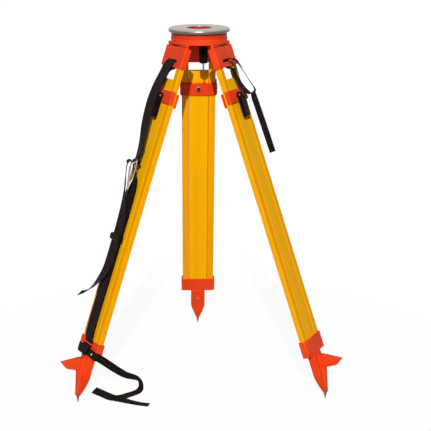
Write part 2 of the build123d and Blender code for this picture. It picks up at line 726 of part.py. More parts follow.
def tie_strap(place):
    """Short strap riveted round the collar, hanging to the ground and folded over itself there."""
    off = small_thick / 2 + slide_play
    face, side = half_cap_x + off, half_cap_y + off
    leg_axis = (0.0, 0.0, 1.0)
    wrapped = [((face, -25.0, tie_z), leg_axis), ((face, half_cap_y - 4.0, tie_z), leg_axis),
               ((face - 1.0, side - 1.0, tie_z - 0.3), leg_axis),
               ((half_cap_x - 4.5, side + 0.2, tie_z - 0.8), leg_axis),
               ((-half_cap_x, side + 0.8, tie_z - tie_drop), leg_axis)]
    stations = []
    for point, across in wrapped:
        start = (place * Pos(*point)).position
        end = (place * Pos(*(Vector(*point) + Vector(*across)))).position
        stations.append((tuple(start), tuple(end - start)))
    stations += tie_air
    route = [(x, y, tie_ground) for x, y in tie_under]
    fold = Vector(*tie_under[-1]) - Vector(*tie_under[-2])
    fold = Vector(*tie_under[-1]) + fold.normalized() * 2.0
    route += [(fold.X, fold.Y, (tie_ground + tie_over) / 2), (*tie_under[-1], tie_over)]
    route += [(x, y, tie_over) for x, y in tie_back[:-2]] + [(x, y, tie_ground) for x, y in tie_back[-2:]]
    flat = []
    for i, point in enumerate(route):
        before, after = Vector(*route[max(i - 1, 0)]), Vector(*route[min(i + 1, len(route) - 1)])
        flat.append((point, after - before))
    turn = len(tie_under)
    side_of = Vector(0, 0, 1)
    first = Vector(*tie_under[-1]) - Vector(*tie_under[-2])
    for i, (point, run) in enumerate(flat):
        run = first if turn - 1 <= i <= turn + 1 else run
        across = side_of.cross(Vector(run.X, run.Y, 0)).normalized()
        across = -across if i > turn + 1 else across
        stations.append((point, tuple(across)))
    rivet_hole = along_x(hole(rivet_dia), half_cap_x, face + off, half_cap_y - rivet_inset, tie_z)
    return webbing(stations, small_wide, small_thick) - place * rivet_hole


def strap_rivet():
    y = half_cap_y - rivet_inset
    seat = half_cap_x + small_thick + 2 * slide_play
    rivet = along_x(rivet_dia, half_rail, seat, y, tie_z)
    dome = along_x(rivet_head, seat, seat + rivet_head_high, y, tie_z)
    dome = fillet(dome.faces().sort_by(Axis.X)[-1].edges(), rivet_head_high * 0.7)
    return rivet + dome


# Assembly

on_ground = Pos(0, 0, head_top)
nodes = {
    "head_plate": on_ground * head_plate(),
    "head_casting": on_ground * head_casting(),
    "plate_screws": on_ground * plate_screws(),
    "arm_pivot": on_ground * arm_pivot(),
    "centring_arm": on_ground * centring_arm(),
    "screw_bush": on_ground * screw_bush(),
    "centring_screw": on_ground * centring_screw(),
    "plumb_hook": on_ground * plumb_hook(),
}
places = {}
for name, bearing in leg_bearings.items():
    place = Rot(0, 0, bearing) * Pos(hinge_radius, 0, head_top - hinge_drop) * Rot(0, -spread, 0)
    places[name] = place
    leg = {
        "cap": cap(),
        "hinge_pin": hinge_pin(),
        "near_rail": rail(1),
        "far_rail": rail(-1),
        "rail_screws": rail_screws(),
        "collar": collar(strapped=name == "left"),
        "board": board(),
        "clamp_outer_plate": clamp_outer_plate(),
        "clamp_inner_plate": clamp_inner_plate(),
        "clamp_bolt": clamp_bolt(),
        "clamp_lever": clamp_lever(),
        "lever_pin": lever_pin(),
        "foot": foot(),
        "foot_point": foot_point(),
        "foot_bolt": foot_bolt(),
    }
    nodes |= {f"{name}_{piece}": place * shape for piece, shape in leg.items()}
nodes |= {
    "upper_strap": places["left"] * upper_strap(),
    "lower_strap": places["left"] * lower_strap(),
    "strap_buckle": places["left"] * strap_buckle(),
    "strap_slider": places["left"] * strap_slider(),
    "tie_strap": tie_strap(places["left"]),
    "strap_rivet": places["left"] * strap_rivet(),
    "closing_strap": places["right"] * closing_strap(),
}

os.makedirs("parts", exist_ok=True)
for name, shape in nodes.items():
    export_step(shape, f"parts/{name}.step")
print(f"{len(nodes)} nodes, plate top {head_top:.1f} mm above the ground")
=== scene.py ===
# %% [markdown]
# # A wooden surveying tripod
# A tripod of this kind carries a level or a theodolite on a building site. Its solids come from a CAD
# model, at their real size and in their real place, and this lesson gives them their finish: sprayed
# castings, coated wood, turned aluminium, moulded plastic and black webbing. Lengths are in metres.

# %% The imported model
import json
from math import cos, degrees, pi, radians, sin

import bmesh
import bpy
import numpy as np
from mathutils import Matrix, Vector

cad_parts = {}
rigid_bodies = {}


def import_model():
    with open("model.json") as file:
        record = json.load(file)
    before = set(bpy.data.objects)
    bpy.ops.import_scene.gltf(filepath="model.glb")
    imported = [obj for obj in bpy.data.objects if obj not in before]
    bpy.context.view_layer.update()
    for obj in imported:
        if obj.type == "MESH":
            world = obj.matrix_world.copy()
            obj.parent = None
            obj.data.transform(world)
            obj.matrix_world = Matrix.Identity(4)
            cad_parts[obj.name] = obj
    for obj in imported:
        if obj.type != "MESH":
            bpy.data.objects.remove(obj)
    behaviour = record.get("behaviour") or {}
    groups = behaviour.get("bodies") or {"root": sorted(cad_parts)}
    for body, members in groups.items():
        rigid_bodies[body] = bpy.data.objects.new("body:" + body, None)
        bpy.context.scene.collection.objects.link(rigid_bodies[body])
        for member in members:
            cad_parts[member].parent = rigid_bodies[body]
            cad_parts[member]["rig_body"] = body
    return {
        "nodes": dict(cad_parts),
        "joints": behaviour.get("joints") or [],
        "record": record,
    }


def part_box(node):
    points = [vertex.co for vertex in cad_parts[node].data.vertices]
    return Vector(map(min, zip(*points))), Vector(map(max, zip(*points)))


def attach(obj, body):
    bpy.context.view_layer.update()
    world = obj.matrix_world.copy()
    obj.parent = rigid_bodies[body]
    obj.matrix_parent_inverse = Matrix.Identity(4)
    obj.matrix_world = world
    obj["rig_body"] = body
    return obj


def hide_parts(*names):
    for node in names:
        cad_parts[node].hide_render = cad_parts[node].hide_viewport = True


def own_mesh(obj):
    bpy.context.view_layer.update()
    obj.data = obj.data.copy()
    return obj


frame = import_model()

MM = 0.001
LEGS = ("rear", "left", "right")
JOINT = {joint["name"]: joint for joint in frame["joints"]}
SLOT = {part["node"]: part["material_slot"] for part in frame["record"]["subparts"]}
scene = bpy.context.scene
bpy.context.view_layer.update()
HEAD_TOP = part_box("head_plate")[1].z
print(f"{len(frame['nodes'])} solids, the plate is {HEAD_TOP:.3f} m above the ground")

# %% [markdown]
# Each leg leans outwards, so a strap or a plank's grain is easiest to describe in the leg's own axes: x
# points outwards, y across the leg and z up along it, with the hinge at zero. The joints already hold those
# axes. The hinge gives the origin and the line across, and the sliding joint gives the line down the leg.

# %% The legs' own axes
def leg_place(leg):
    """Matrix from a leg's own axes to the model's."""
    up = -Vector(JOINT[f"{leg}_extend"]["axis"]).normalized()
    across = -Vector(JOINT[f"{leg}_spread"]["axis"]).normalized()
    place = Matrix((across.cross(up), across, up)).transposed().to_4x4()
    place.translation = JOINT[f"{leg}_spread"]["pos_m"]
    return place


PLACE = {leg: leg_place(leg) for leg in LEGS}


def leg_box(node, leg):
    """Lowest and highest corner of a solid, in the leg's own axes."""
    inverse = PLACE[leg].inverted()
    corners = [inverse @ vertex.co for vertex in frame["nodes"][node].data.vertices]
    low = Vector([min(corner[i] for corner in corners) for i in range(3)])
    return low, Vector([max(corner[i] for corner in corners) for i in range(3)])


lean = [PLACE[leg].to_3x3().col[2].angle(Vector((0, 0, 1))) for leg in LEGS]
print("the legs lean by", [round(degrees(angle), 1) for angle in lean], "degrees")

# %% [markdown]
# The camera stands three metres in front, a little above the head, with a long lens. Its place and angles
# were fitted to the photograph. A camera could be turned by tracking a target, but with known angles its
# three axes are written down directly.

# %% Camera
FRAME_PIXELS = 431
FOCAL_PIXELS = 1161.5
SENSOR = 36.0
camera_distance = 2.9698
camera_rise = 0.3561          # above the plate
camera_pitch = radians(16.037)
camera_yaw = radians(-0.803)
camera_orbit = radians(-1.179)

ahead = Vector((-sin(camera_yaw), cos(camera_yaw), 0))
side = Vector((cos(camera_yaw), sin(camera_yaw), 0))
level_up = Vector((0, 0, 1))
forward = ahead * cos(camera_pitch) - level_up * sin(camera_pitch)
upward = ahead * sin(camera_pitch) + level_up * cos(camera_pitch)
orbit = Matrix.Rotation(camera_orbit, 4, "Z")
eye = Matrix((side, upward, -forward)).transposed().to_4x4()
eye.translation = (0, -camera_distance, HEAD_TOP + camera_rise)

lens = bpy.data.cameras.new("long_lens")
lens.sensor_width = SENSOR
lens.lens = FOCAL_PIXELS / FRAME_PIXELS * SENSOR
camera = bpy.data.objects.new("camera", lens)
camera.matrix_world = orbit @ eye
scene.collection.objects.link(camera)
scene.camera = camera
stand = [round(x, 2) for x in camera.matrix_world.translation]
print(f"camera with a {lens.lens:.0f} mm lens at {stand}")

# %% [markdown]
# The main light is a small lamp far behind the camera and above it. It draws the shadows of the head and of
# the front legs on the rear leg. A sun lamp could do that too, but a disk's size is easy to picture, and it
# sets how soft the shadows are. A large soft lamp behind the tripod lights the far sides.

# %% Lamps
scene.view_settings.view_transform = "Standard"


def disk_lamp(name, bearing, height, distance, size, watts):
    """A round lamp that points at the head, at a bearing from the camera's side and a height in degrees."""
    light = bpy.data.lights.new(name, "AREA")
    light.shape = "DISK"
    light.size = size
    light.energy = watts
    lamp = bpy.data.objects.new(name, light)
    level, rise = cos(radians(height)), sin(radians(height))
    toward = orbit @ Vector((sin(radians(bearing)) * level, -cos(radians(bearing)) * level, rise))
    lamp.location = Vector((0, 0, HEAD_TOP)) + toward * distance
    lamp.rotation_euler = toward.to_track_quat("Z", "Y").to_euler()
    scene.collection.objects.link(lamp)
    print(f"{name} of {watts} W at {[round(x, 2) for x in lamp.location]}")
    return lamp


disk_lamp("key_lamp", bearing=-1.5, height=29, distance=12.0, size=0.24, watts=1680)
back_lamp = disk_lamp("back_lamp", bearing=180, height=38, distance=4.0, size=2.4, watts=50)
back_lamp.visible_glossy = False

# %% [markdown]
# A dim white world fills the shadows. A picture of a studio could do that too, but a plain room needs none.
# The camera and the reflections see this world at full white, and a Light Path node tells them from
# scattered light. One short function adds a node, and its output goes straight into the next one.

# %% White world
WHITE = (1, 1, 1, 1)
fill_strength = 0.03


def add(tree, kind, inputs=None, pick=0, **settings):
    """One node's output. An input takes a value or another node's output."""
    made = tree.nodes.new(kind)
    for key, value in settings.items():
        setattr(made, key, value)
    for key, value in (inputs or {}).items():
        if isinstance(value, bpy.types.NodeSocket):
            tree.links.new(value, made.inputs[key])
        else:
            made.inputs[key].default_value = value
    return made.outputs[pick] if made.outputs else None


def maths(tree, operation, first, second):
    return add(tree, "ShaderNodeMath", {0: first, 1: second}, operation=operation)


def empty_tree(owner):
    """The tree of a material or world, with nothing in it."""
    owner.use_nodes = True
    owner.node_tree.nodes.clear()
    return owner.node_tree


def seen_ray(tree):
    """One for what the eye sees directly, in a mirror or through glass, and zero for scattered light."""
    path = tree.nodes.new("ShaderNodeLightPath").outputs
    mirror = maths(tree, "MAXIMUM", path["Is Glossy Ray"], path["Is Transmission Ray"])
    return maths(tree, "MAXIMUM", path["Is Camera Ray"], mirror)


scene.world = bpy.data.worlds.new("white_room")
tree = empty_tree(scene.world)
strength = add(tree, "ShaderNodeMapRange", {"Value": seen_ray(tree), "To Min": fill_strength, "To Max": 1.0})
glow = add(tree, "ShaderNodeBackground", {"Color": WHITE, "Strength": strength})
add(tree, "ShaderNodeOutputWorld", {"Surface": glow})
print(f"{scene.world.name} fills the shadows at {fill_strength} of its white")

# %% [markdown]
# The floor is one large square, white for the camera and for reflections. A shadow catcher could show the
# shadow alone, but the white would then have to be put behind it in a second picture. Here a small share of
# the floor near the tripod is a matt grey that the lamps light, so it takes a faint shadow.

# %% Floor
floor_half = 14.0
floor_grey = (0.45, 0.45, 0.45, 1)
glow_near, glow_far = 0.85, 1.0      # share of the floor's white that doesn't depend on the light
white_near, white_far = 1.11, 1.05   # and the strength of that white
near_radius, far_radius = 0.7, 1.5

floor_mesh = bpy.data.meshes.new("floor")
floor_corners = [(x * floor_half, y * floor_half, 0) for x, y in ((-1, -1), (1, -1), (1, 1), (-1, 1))]
floor_mesh.from_pydata(floor_corners, [], [(0, 1, 2, 3)])
floor = bpy.data.objects.new("floor", floor_mesh)
scene.collection.objects.link(floor)

floor_paint = bpy.data.materials.new("pale_floor")
tree = empty_tree(floor_paint)
matt = add(tree, "ShaderNodeBsdfDiffuse", {"Color": floor_grey})
spot = add(tree, "ShaderNodeTexCoord", pick="Object")
away = add(tree, "ShaderNodeVectorMath", {0: spot}, "Value", operation="LENGTH")
reach = {"Value": away, "From Min": near_radius, "From Max": far_radius}
strength = add(tree, "ShaderNodeMapRange", reach | {"To Min": white_near, "To Max": white_far})
glow = add(tree, "ShaderNodeMapRange", reach | {"To Min": glow_near, "To Max": glow_far})
white = add(tree, "ShaderNodeEmission", {"Color": WHITE, "Strength": strength})
share = maths(tree, "MULTIPLY", seen_ray(tree), glow)
both = add(tree, "ShaderNodeMixShader", {0: share, 1: matt, 2: white})
add(tree, "ShaderNodeOutputMaterial", {"Surface": both})
floor_mesh.materials.append(floor_paint)
print(f"floor of {floor_half * 2:.0f} m, with {1 - glow_near:.0%} of lit grey near the tripod")

# %% [markdown]
# ## Finishes
# Every finish is a small tree of nodes round one Principled shader. Its colours could be typed as the linear
# values that the shader works with, but those are hard to picture. Here they are written as they are seen,
# from 0 to 255, and turned into linear values.

# %% Colours and shaders
def seen(red, green, blue):
    """A colour as the eye sees it, as linear red, green, blue and alpha."""
    def linear(value):
        share = value / 255
        return share / 12.92 if share <= 0.04045 else ((share + 0.055) / 1.055) ** 2.4
    return (linear(red), linear(green), linear(blue), 1)


def finish_tree(name):
    """A new material, its empty tree and its object coordinates."""
    material = bpy.data.materials.new(name)
    tree = empty_tree(material)
    return material, tree, add(tree, "ShaderNodeTexCoord", pick="Object")


def dressed(material, inputs):
    """Closes a material's tree with its shader, which takes these values and patterns."""
    shader = add(material.node_tree, "ShaderNodeBsdfPrincipled", inputs)
    add(material.node_tree, "ShaderNodeOutputMaterial", {"Surface": shader})
    return material


print("a pure mid grey of 128 is", round(seen(128, 128, 128)[0], 3), "in linear light")

# %% [markdown]
# Patterns keep a finish from looking flat: clouds of noise, two colours that blend, a different colour along
# the edges and a fine relief. They could be groups of nodes, but plain functions are shorter to read.

# %% Patterns
def noise(tree, place, scale, detail=2.0, rough=0.5, twist=0.0):
    """Cloudy noise with `scale` blots to the metre."""
    return add(tree, "ShaderNodeTexNoise", {
        "Vector": place, "Scale": scale, "Detail": detail, "Roughness": rough, "Distortion": twist}, "Fac")


def spread(tree, value, low, high, start=0.0, end=1.0):
    """Value moved from start..end to low..high."""
    return add(tree, "ShaderNodeMapRange", {
        "Value": value, "From Min": start, "From Max": end, "To Min": low, "To Max": high})


def blend_colour(tree, share, first, second):
    """The first colour, with a share of the second over it."""
    return add(tree, "ShaderNodeMix", {0: share, 6: first, 7: second}, 2, data_type="RGBA")


def mottled(tree, cloud, start, end, first, second):
    """The first colour where a cloud is below `start`, going over to the second at `end`."""
    return blend_colour(tree, spread(tree, cloud, 0, 1, start, end), first, second)


def edges(tree, radius):
    """One along the edges of a piece and zero on its faces."""
    turned, level = 0.86, 0.995      # cosines between the rounded and the flat normal
    rounded = add(tree, "ShaderNodeBevel", {"Radius": radius}, samples=4)
    flat = add(tree, "ShaderNodeNewGeometry", pick="Normal")
    along = add(tree, "ShaderNodeVectorMath", {0: rounded, 1: flat}, "Value", operation="DOT_PRODUCT")
    return spread(tree, along, 1.0, 0.0, turned, level)


def edge_tint(tree, base, radius, share, colour):
    """A share of another colour along the edges. On the orange paint and the nuts it is partly a painted
    highlight.
    """
    return blend_colour(tree, maths(tree, "MULTIPLY", edges(tree, radius), share), base, colour)


def relief(tree, height, depth, strength):
    """Bump of this depth in metres."""
    return add(tree, "ShaderNodeBump", {"Height": height, "Distance": depth, "Strength": strength})


def height_above(tree, place):
    return add(tree, "ShaderNodeSeparateXYZ", {0: place}, "Z")

# %% [markdown]
# The castings of the head, the caps, the collars, the clamps and the feet are sprayed orange, with a fine
# orange peel and a little paler paint along the edges, partly worn paint and partly a painted highlight. A
# picture of paint could be wrapped round the pieces, but noise in object coordinates has no seams. Just
# under the plate a painted shadow darkens the paint, because the photograph is darker there than these lamps
# leave it. Bolts and nuts are paler still along their edges, again worn paint with a painted highlight.

# %% Orange paint
shade_low, shade_high = HEAD_TOP - 0.025, HEAD_TOP - 0.011


def orange_paint():
    material, tree, place = finish_tree("orange_paint")
    base = mottled(tree, noise(tree, place, 14, 3), 0.35, 0.65, seen(226, 60, 18), seen(233, 70, 26))
    # paler edges: worn paint, and a painted highlight along the edges
    wear_and_highlight = spread(tree, noise(tree, place, 420, 4), 0.0, 0.5, 0.42, 0.66)
    base = edge_tint(tree, base, 0.0011, wear_and_highlight, seen(240, 104, 60))
    # painted shadow: the paint is darker just under the plate, where the plate's shadow falls
    painted_plate_shadow = spread(tree, height_above(tree, place), 0.0, 0.55, shade_low, shade_high)
    base = blend_colour(tree, painted_plate_shadow, base, seen(104, 22, 12))
    return dressed(material, {
        "Base Color": base, "Roughness": spread(tree, noise(tree, place, 90, 3), 0.38, 0.5),
        "Normal": relief(tree, noise(tree, place, 750, 2), 0.00012, 0.5), "Specular IOR Level": 0.1})


def chipped_highlit():
    """Paint on a bolt or nut, worn and with a painted highlight along the edges."""
    material, tree, place = finish_tree("chipped_highlit_paint")
    base = mottled(tree, noise(tree, place, 300, 3), 0.35, 0.7, seen(208, 96, 68), seen(196, 72, 46))
    # pale edges: worn paint, and a painted highlight
    base = edge_tint(tree, base, 0.0016, 0.9, seen(244, 172, 150))
    return dressed(material, {"Base Color": base, "Roughness": 0.45, "Specular IOR Level": 0.3})


FINISH = {"orange_paint": orange_paint()}
chipped_highlit_paint = chipped_highlit()
print("paints:", FINISH["orange_paint"].name, "and", chipped_highlit_paint.name)

# %% [markdown]
# The rails and the boards are straight-grained wood under a smooth yellow coat. The coat hides most of the
# grain but leaves long soft streaks, and it is more orange along the edges. A Wave texture could draw the
# grain, but its lines would be too even, so noise is drawn out along the leg instead. Each leg has its own
# copies of the finish, a paler one for the board and a deeper one for the rails: a Mapping node of the
# Texture kind first turns the coordinates into that leg's axes and then stretches them.

# %% Yellow coated wood
def yellow_wood(leg, kind, pale, deep):
    material, tree, place = finish_tree(f"yellow_wood_{leg}_{kind}")
    hinge, turn = PLACE[leg].translation, PLACE[leg].to_euler("XYZ")

    def along_leg(wide, long):
        return add(tree, "ShaderNodeMapping", {
            "Vector": place, "Location": hinge, "Rotation": turn, "Scale": (wide, wide, long)},
            vector_type="TEXTURE")

    streak = noise(tree, along_leg(0.014, 0.6), 1.0, 4, 0.55, 0.4)
    grain = noise(tree, along_leg(0.0012, 0.06), 1.0, 3, 0.6, 0.2)
    base = mottled(tree, streak, 0.32, 0.72, pale, deep)
    base = blend_colour(tree, spread(tree, grain, 0, 0.22, 0.55, 0.75), base, seen(214, 132, 0))
    base = edge_tint(tree, base, 0.0018, 0.8, seen(186, 104, 0))
    return dressed(material, {
        "Base Color": base, "Roughness": spread(tree, streak, 0.4, 0.52),
        "Normal": relief(tree, grain, 0.0001, 0.35), "Specular IOR Level": 0.06})


WOOD = {}
for leg in LEGS:
    WOOD[leg, "board"] = yellow_wood(leg, "board", seen(251, 183, 0), seen(242, 169, 0))
    WOOD[leg, "rail"] = yellow_wood(leg, "rail", seen(243, 169, 0), seen(234, 155, 0))
print("woods:", ", ".join(wood.name for wood in WOOD.values()))

# %% [markdown]
# The head plate is turned on a lathe, so its marks are rings about the middle. An anisotropic shader could
# draw the sheen of turning, but it leaves out the marks. The distance from the axis, taken as the only
# coordinate of a noise, draws rings that catch the light. The rim is painted darker towards its low edge, a
# painted dark reflection. The small steel pieces share one finish with different colours and polish.

# %% Bare metals
rim_dark, rim_bright = HEAD_TOP - 0.004, HEAD_TOP - 0.0012


def turned_aluminium():
    material, tree, place = finish_tree("bare_aluminium")
    flat = add(tree, "ShaderNodeVectorMath", {0: place, 1: (1, 1, 0)}, operation="MULTIPLY")
    radius = add(tree, "ShaderNodeVectorMath", {0: flat}, "Value", operation="LENGTH")

    def rings(scale, detail):
        return add(tree, "ShaderNodeTexNoise", {"W": radius, "Scale": scale, "Detail": detail}, "Fac",
                   noise_dimensions="1D")

    fine = rings(2600.0, 3.0)
    broad = rings(260.0, 2.0)
    base = mottled(tree, noise(tree, place, 22, 3), 0.3, 0.7, seen(174, 163, 148), seen(164, 153, 139))
    base = blend_colour(tree, spread(tree, broad, 0, 0.5, 0.45, 0.7), base, seen(152, 142, 130))
    # painted reflection: the rim darkens towards its low edge, as if it mirrored a dark room
    below = spread(tree, height_above(tree, place), 0.9, 0.0, rim_dark, rim_bright)
    base = blend_colour(tree, below, base, seen(104, 90, 92))
    return dressed(material, {
        "Base Color": base, "Roughness": spread(tree, fine, 0.26, 0.42),
        "Normal": relief(tree, fine, 0.00003, 0.5), "Metallic": 1.0})


def plated_steel(name, bright, dull, polish):
    material, tree, place = finish_tree(name)
    return dressed(material, {
        "Base Color": mottled(tree, noise(tree, place, 160, 4), 0.3, 0.7, bright, dull),
        "Roughness": spread(tree, noise(tree, place, 900, 3), polish, polish + 0.16),
        "Normal": relief(tree, noise(tree, place, 1800, 2), 0.00003, 0.4), "Metallic": 1.0})


FINISH["bare_aluminium"] = turned_aluminium()
FINISH["bright_steel"] = plated_steel("bright_steel", seen(188, 180, 170), seen(150, 142, 134), 0.18)
FINISH["zinc_steel"] = plated_steel("zinc_steel", seen(150, 146, 140), seen(124, 121, 116), 0.3)
dark_steel = plated_steel("blackened_steel", seen(54, 48, 50), seen(34, 29, 31), 0.3)
worn_steel = plated_steel("worn_steel", seen(146, 104, 92), seen(116, 86, 78), 0.35)
print("metals: bare_aluminium, bright_steel, zinc_steel,", dark_steel.name, "and", worn_steel.name)

# %% [markdown]
# The levers, the knob and the slider are moulded black plastic with a fine texture. The straps are woven. A
# picture of cloth could be laid on them, but it would blur in a close view. The weave follows the strap, so
# it reads the strap's own UV map, which is laid out in metres. A brick pattern with half a brick of offset
# is a plain weave, and its joints are the gaps between the yarns.

# %% Black plastic and webbing
def black_plastic():
    material, tree, place = finish_tree("black_plastic")
    rub = noise(tree, place, 60, 3)
    base = mottled(tree, rub, 0.35, 0.7, seen(12, 4, 5), seen(19, 9, 10))
    base = edge_tint(tree, base, 0.0008, 0.25, seen(60, 46, 48))
    return dressed(material, {
        "Base Color": base, "Roughness": spread(tree, rub, 0.4, 0.56),
        "Normal": relief(tree, noise(tree, place, 2200, 2), 0.00006, 0.5), "Specular IOR Level": 0.06})


def black_webbing():
    material, tree, _ = finish_tree("black_webbing")
    cloth = add(tree, "ShaderNodeUVMap", uv_map="webbing")
    weave = add(tree, "ShaderNodeTexBrick", {
        "Vector": cloth, "Scale": 1.0, "Mortar Size": 0.00022, "Mortar Smooth": 1.0,
        "Brick Width": 0.0026, "Row Height": 0.00125,
        "Color1": WHITE, "Color2": (0.8, 0.8, 0.8, 1), "Mortar": (0, 0, 0, 1)}).node.outputs
    base = mottled(tree, noise(tree, cloth, 60, 3), 0.3, 0.7, seen(24, 14, 13), seen(34, 23, 21))
    base = blend_colour(tree, weave["Fac"], base, seen(10, 5, 5))
    return dressed(material, {
        "Base Color": base, "Roughness": 0.75, "Specular IOR Level": 0.06,
        "Normal": relief(tree, weave["Color"], 0.0003, 0.7),
        "Sheen Weight": 0.02, "Sheen Roughness": 0.4, "Sheen Tint": seen(190, 170, 185)})


FINISH["black_plastic"] = black_plastic()
FINISH["black_webbing"] = black_webbing()
print("black_plastic and black_webbing")

# %% [markdown]
# Each solid has a slot that names its finish. The finishes could be handed out one by one, but the slots
# already say nearly all of it. A few pieces look different in the photograph and get another one: the hook
# is dark, and the points and the feet's bolts are guesses from a few pixels.

# %% Finishes on the solids
OTHER_FINISH = {"plumb_hook": dark_steel, "foot_point": worn_steel, "foot_bolt": chipped_highlit_paint}


def finish_of(node):
    """A solid's finish: its slot's, or another where it looks different in the photograph."""
    leg, _, part = node.partition("_")
    if SLOT[node] == "yellow_wood":
        return WOOD[leg, node.split("_")[-1]]
    return OTHER_FINISH.get(node) or OTHER_FINISH.get(part) or FINISH[SLOT[node]]


for node, solid in frame["nodes"].items():
    solid.data.materials.clear()
    solid.data.materials.append(finish_of(node))
print("solids with a finish:", len(frame["nodes"]))

# %% [markdown]
# ## Castings
# Every new piece takes the same steps. Its modifiers could stay live, but the meshes are wanted as they are
# seen, so they are worked in. The piece then rides on a body of the model and takes the place of the solids
# that it stands for.

# %% Pieces and their bodies
def new_piece(name, mesh):
    piece = bpy.data.objects.new(name, mesh)
    scene.collection.objects.link(piece)
    return piece


def plain_mesh(piece):
    """Works a piece's modifiers into its mesh."""
    bpy.context.view_layer.update()
    graph = bpy.context.evaluated_depsgraph_get()
    mesh = bpy.data.meshes.new_from_object(piece.evaluated_get(graph))
    piece.modifiers.clear()
    piece.data = mesh
    return piece


def modify(piece, name, kind, **settings):
    made = piece.modifiers.new(name, kind)
    for key, value in settings.items():
        setattr(made, key, value)
    return made


def smooth(mesh, crease=None):
    """Smooth shading, with a hard line where faces meet at more than `crease` degrees."""
    for face in mesh.polygons:
        face.use_smooth = True
    if crease is not None:
        mesh.set_sharp_from_angle(angle=radians(crease))


def settle(piece, body, slot, *nodes):
    """Rides a finished piece on its body and hides the solids that it stands for. The slot is not used."""
    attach(piece, body)
    if nodes:
        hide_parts(*nodes)


def paint(piece, material):
    piece.data.materials.clear()
    piece.data.materials.append(material)

# %% [markdown]
# A solid arrives as loose triangles, which a Bevel modifier can't round. They could be drawn anew by hand,
# but merging the corners and dissolving the flat edges between triangles gives whole faces again.

# %% Merged copies of the solids
weld = 2e-6                  # corners closer than this are one corner
flat_angle = radians(0.6)    # faces that meet at less than this are one face


def islands(shape):
    """Groups of vertices that are joined to each other."""
    waiting = set(shape.verts)
    groups = []
    while waiting:
        group = [waiting.pop()]
        for vertex in group:
            for edge in vertex.link_edges:
                other = edge.other_vert(vertex)
                if other in waiting:
                    waiting.remove(other)
                    group.append(other)
        groups.append(group)
    return groups


def merged_copy(node, name, keep=None):
    """A copy of a solid's mesh with whole faces. Of several solids, only those that `keep` accepts."""
    shape = bmesh.new()
    shape.from_mesh(frame["nodes"][node].data)
    bmesh.ops.remove_doubles(shape, verts=shape.verts, dist=weld)
    if keep is not None:
        unwanted = [vertex for group in islands(shape) if not keep(group) for vertex in group]
        bmesh.ops.delete(shape, geom=unwanted, context="VERTS")
    bmesh.ops.dissolve_limit(shape, angle_limit=flat_angle, verts=shape.verts, edges=shape.edges)
    mesh = bpy.data.meshes.new(name)
    shape.to_mesh(mesh)
    shape.free()
    if "custom_normal" in mesh.attributes:
        mesh.attributes.remove(mesh.attributes["custom_normal"])
    return mesh

# %% [markdown]
# Cast and painted parts seldom have knife edges, and the solids do. Rounding could be left to the shader,
# but it wouldn't show in the outline. So a Bevel modifier rounds the edges of a merged copy, and a Weighted
# Normal modifier keeps its large faces flat in the light.

# %% Rounded castings
sharp_angle = radians(34)
small_face = 14e-6           # square metres, such as the faces inside a small hole
head_edge = 0.0005
casting_edge = {"cap": 0.0007, "collar": 0.0009, "clamp_outer_plate": 0.0008, "clamp_inner_plate": 0.0008}


def mark_edges(mesh):
    """Gives bevel weight to the sharp edges beside a face of some size."""
    shape = bmesh.new()
    shape.from_mesh(mesh)
    weight = shape.edges.layers.float.new("bevel_weight_edge")
    for edge in shape.edges:
        sharp = edge.calc_face_angle(0) > sharp_angle
        if sharp and max(face.calc_area() for face in edge.link_faces) > small_face:
            edge[weight] = 1.0
    shape.to_mesh(mesh)
    shape.free()


def softened(node, width, name, material=None, slot=None, keep=None):
    """A copy of a solid with rounded edges, in its place and on its body."""
    mesh = merged_copy(node, name, keep)
    smooth(mesh)
    mark_edges(mesh)
    piece = new_piece(name, mesh)
    modify(piece, "rounded_edges", "BEVEL", width=width, segments=3, limit_method="WEIGHT",
           use_clamp_overlap=False, loop_slide=False)
    modify(piece, "small_faces", "TRIANGULATE", min_vertices=5, ngon_method="BEAUTY")
    modify(piece, "flat_faces", "WEIGHTED_NORMAL", keep_sharp=True, weight=100)
    plain_mesh(piece)
    paint(piece, material or finish_of(node))
    settle(piece, frame["nodes"][node]["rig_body"], slot or SLOT[node], node)


softened("head_casting", head_edge, "head_casting_painted")
for leg in LEGS:
    for name, width in casting_edge.items():
        softened(f"{leg}_{name}", width, f"{leg}_{name}_painted")
print("rounded castings:", 1 + len(LEGS) * len(casting_edge))

# %% [markdown]
# The rails and the boards are planed, and their long edges are broken. The shader's bevel could hint at
# that, but it leaves the outline sharp, so the wood gets real rounded edges in the same way as the
# castings.

# %% Rails and boards
wood_edge = 0.0008
TIMBERS = ("near_rail", "far_rail", "board")
for leg in LEGS:
    for timber in TIMBERS:
        softened(f"{leg}_{timber}", wood_edge, f"{leg}_{timber}_planed")
print("rails and boards:", len(LEGS) * len(TIMBERS))

# %% [markdown]
# A bolt and its nut draw each clamp together. They share one node. Two finishes could be given face by
# face, but each face would have to be found first, so the node is copied twice and each copy keeps one of
# the two: the bolt, which reaches out to the lever, is dark steel, and the nut is painted.

# %% Bolts and nuts
nut_edge = 0.0008


def reach_out(leg, group):
    """How far a group of vertices reaches outwards, in the leg's own axes."""
    inverse = PLACE[leg].inverted()
    return max((inverse @ vertex.co).x for vertex in group)


for leg in LEGS:
    node, name = f"{leg}_clamp_bolt", f"{leg}_clamp_bolt_steel"
    bolt = new_piece(name, merged_copy(node, name, lambda group: reach_out(leg, group) > 0))
    smooth(bolt.data, 32)
    paint(bolt, dark_steel)
    settle(bolt, f"{leg}_lower_leg", "bright_steel", node)
    softened(node, nut_edge, f"{leg}_clamp_nut_painted", chipped_highlit_paint, "orange_paint",
             keep=lambda group: reach_out(leg, group) <= 0)
print("clamp bolts with painted nuts:", len(LEGS))

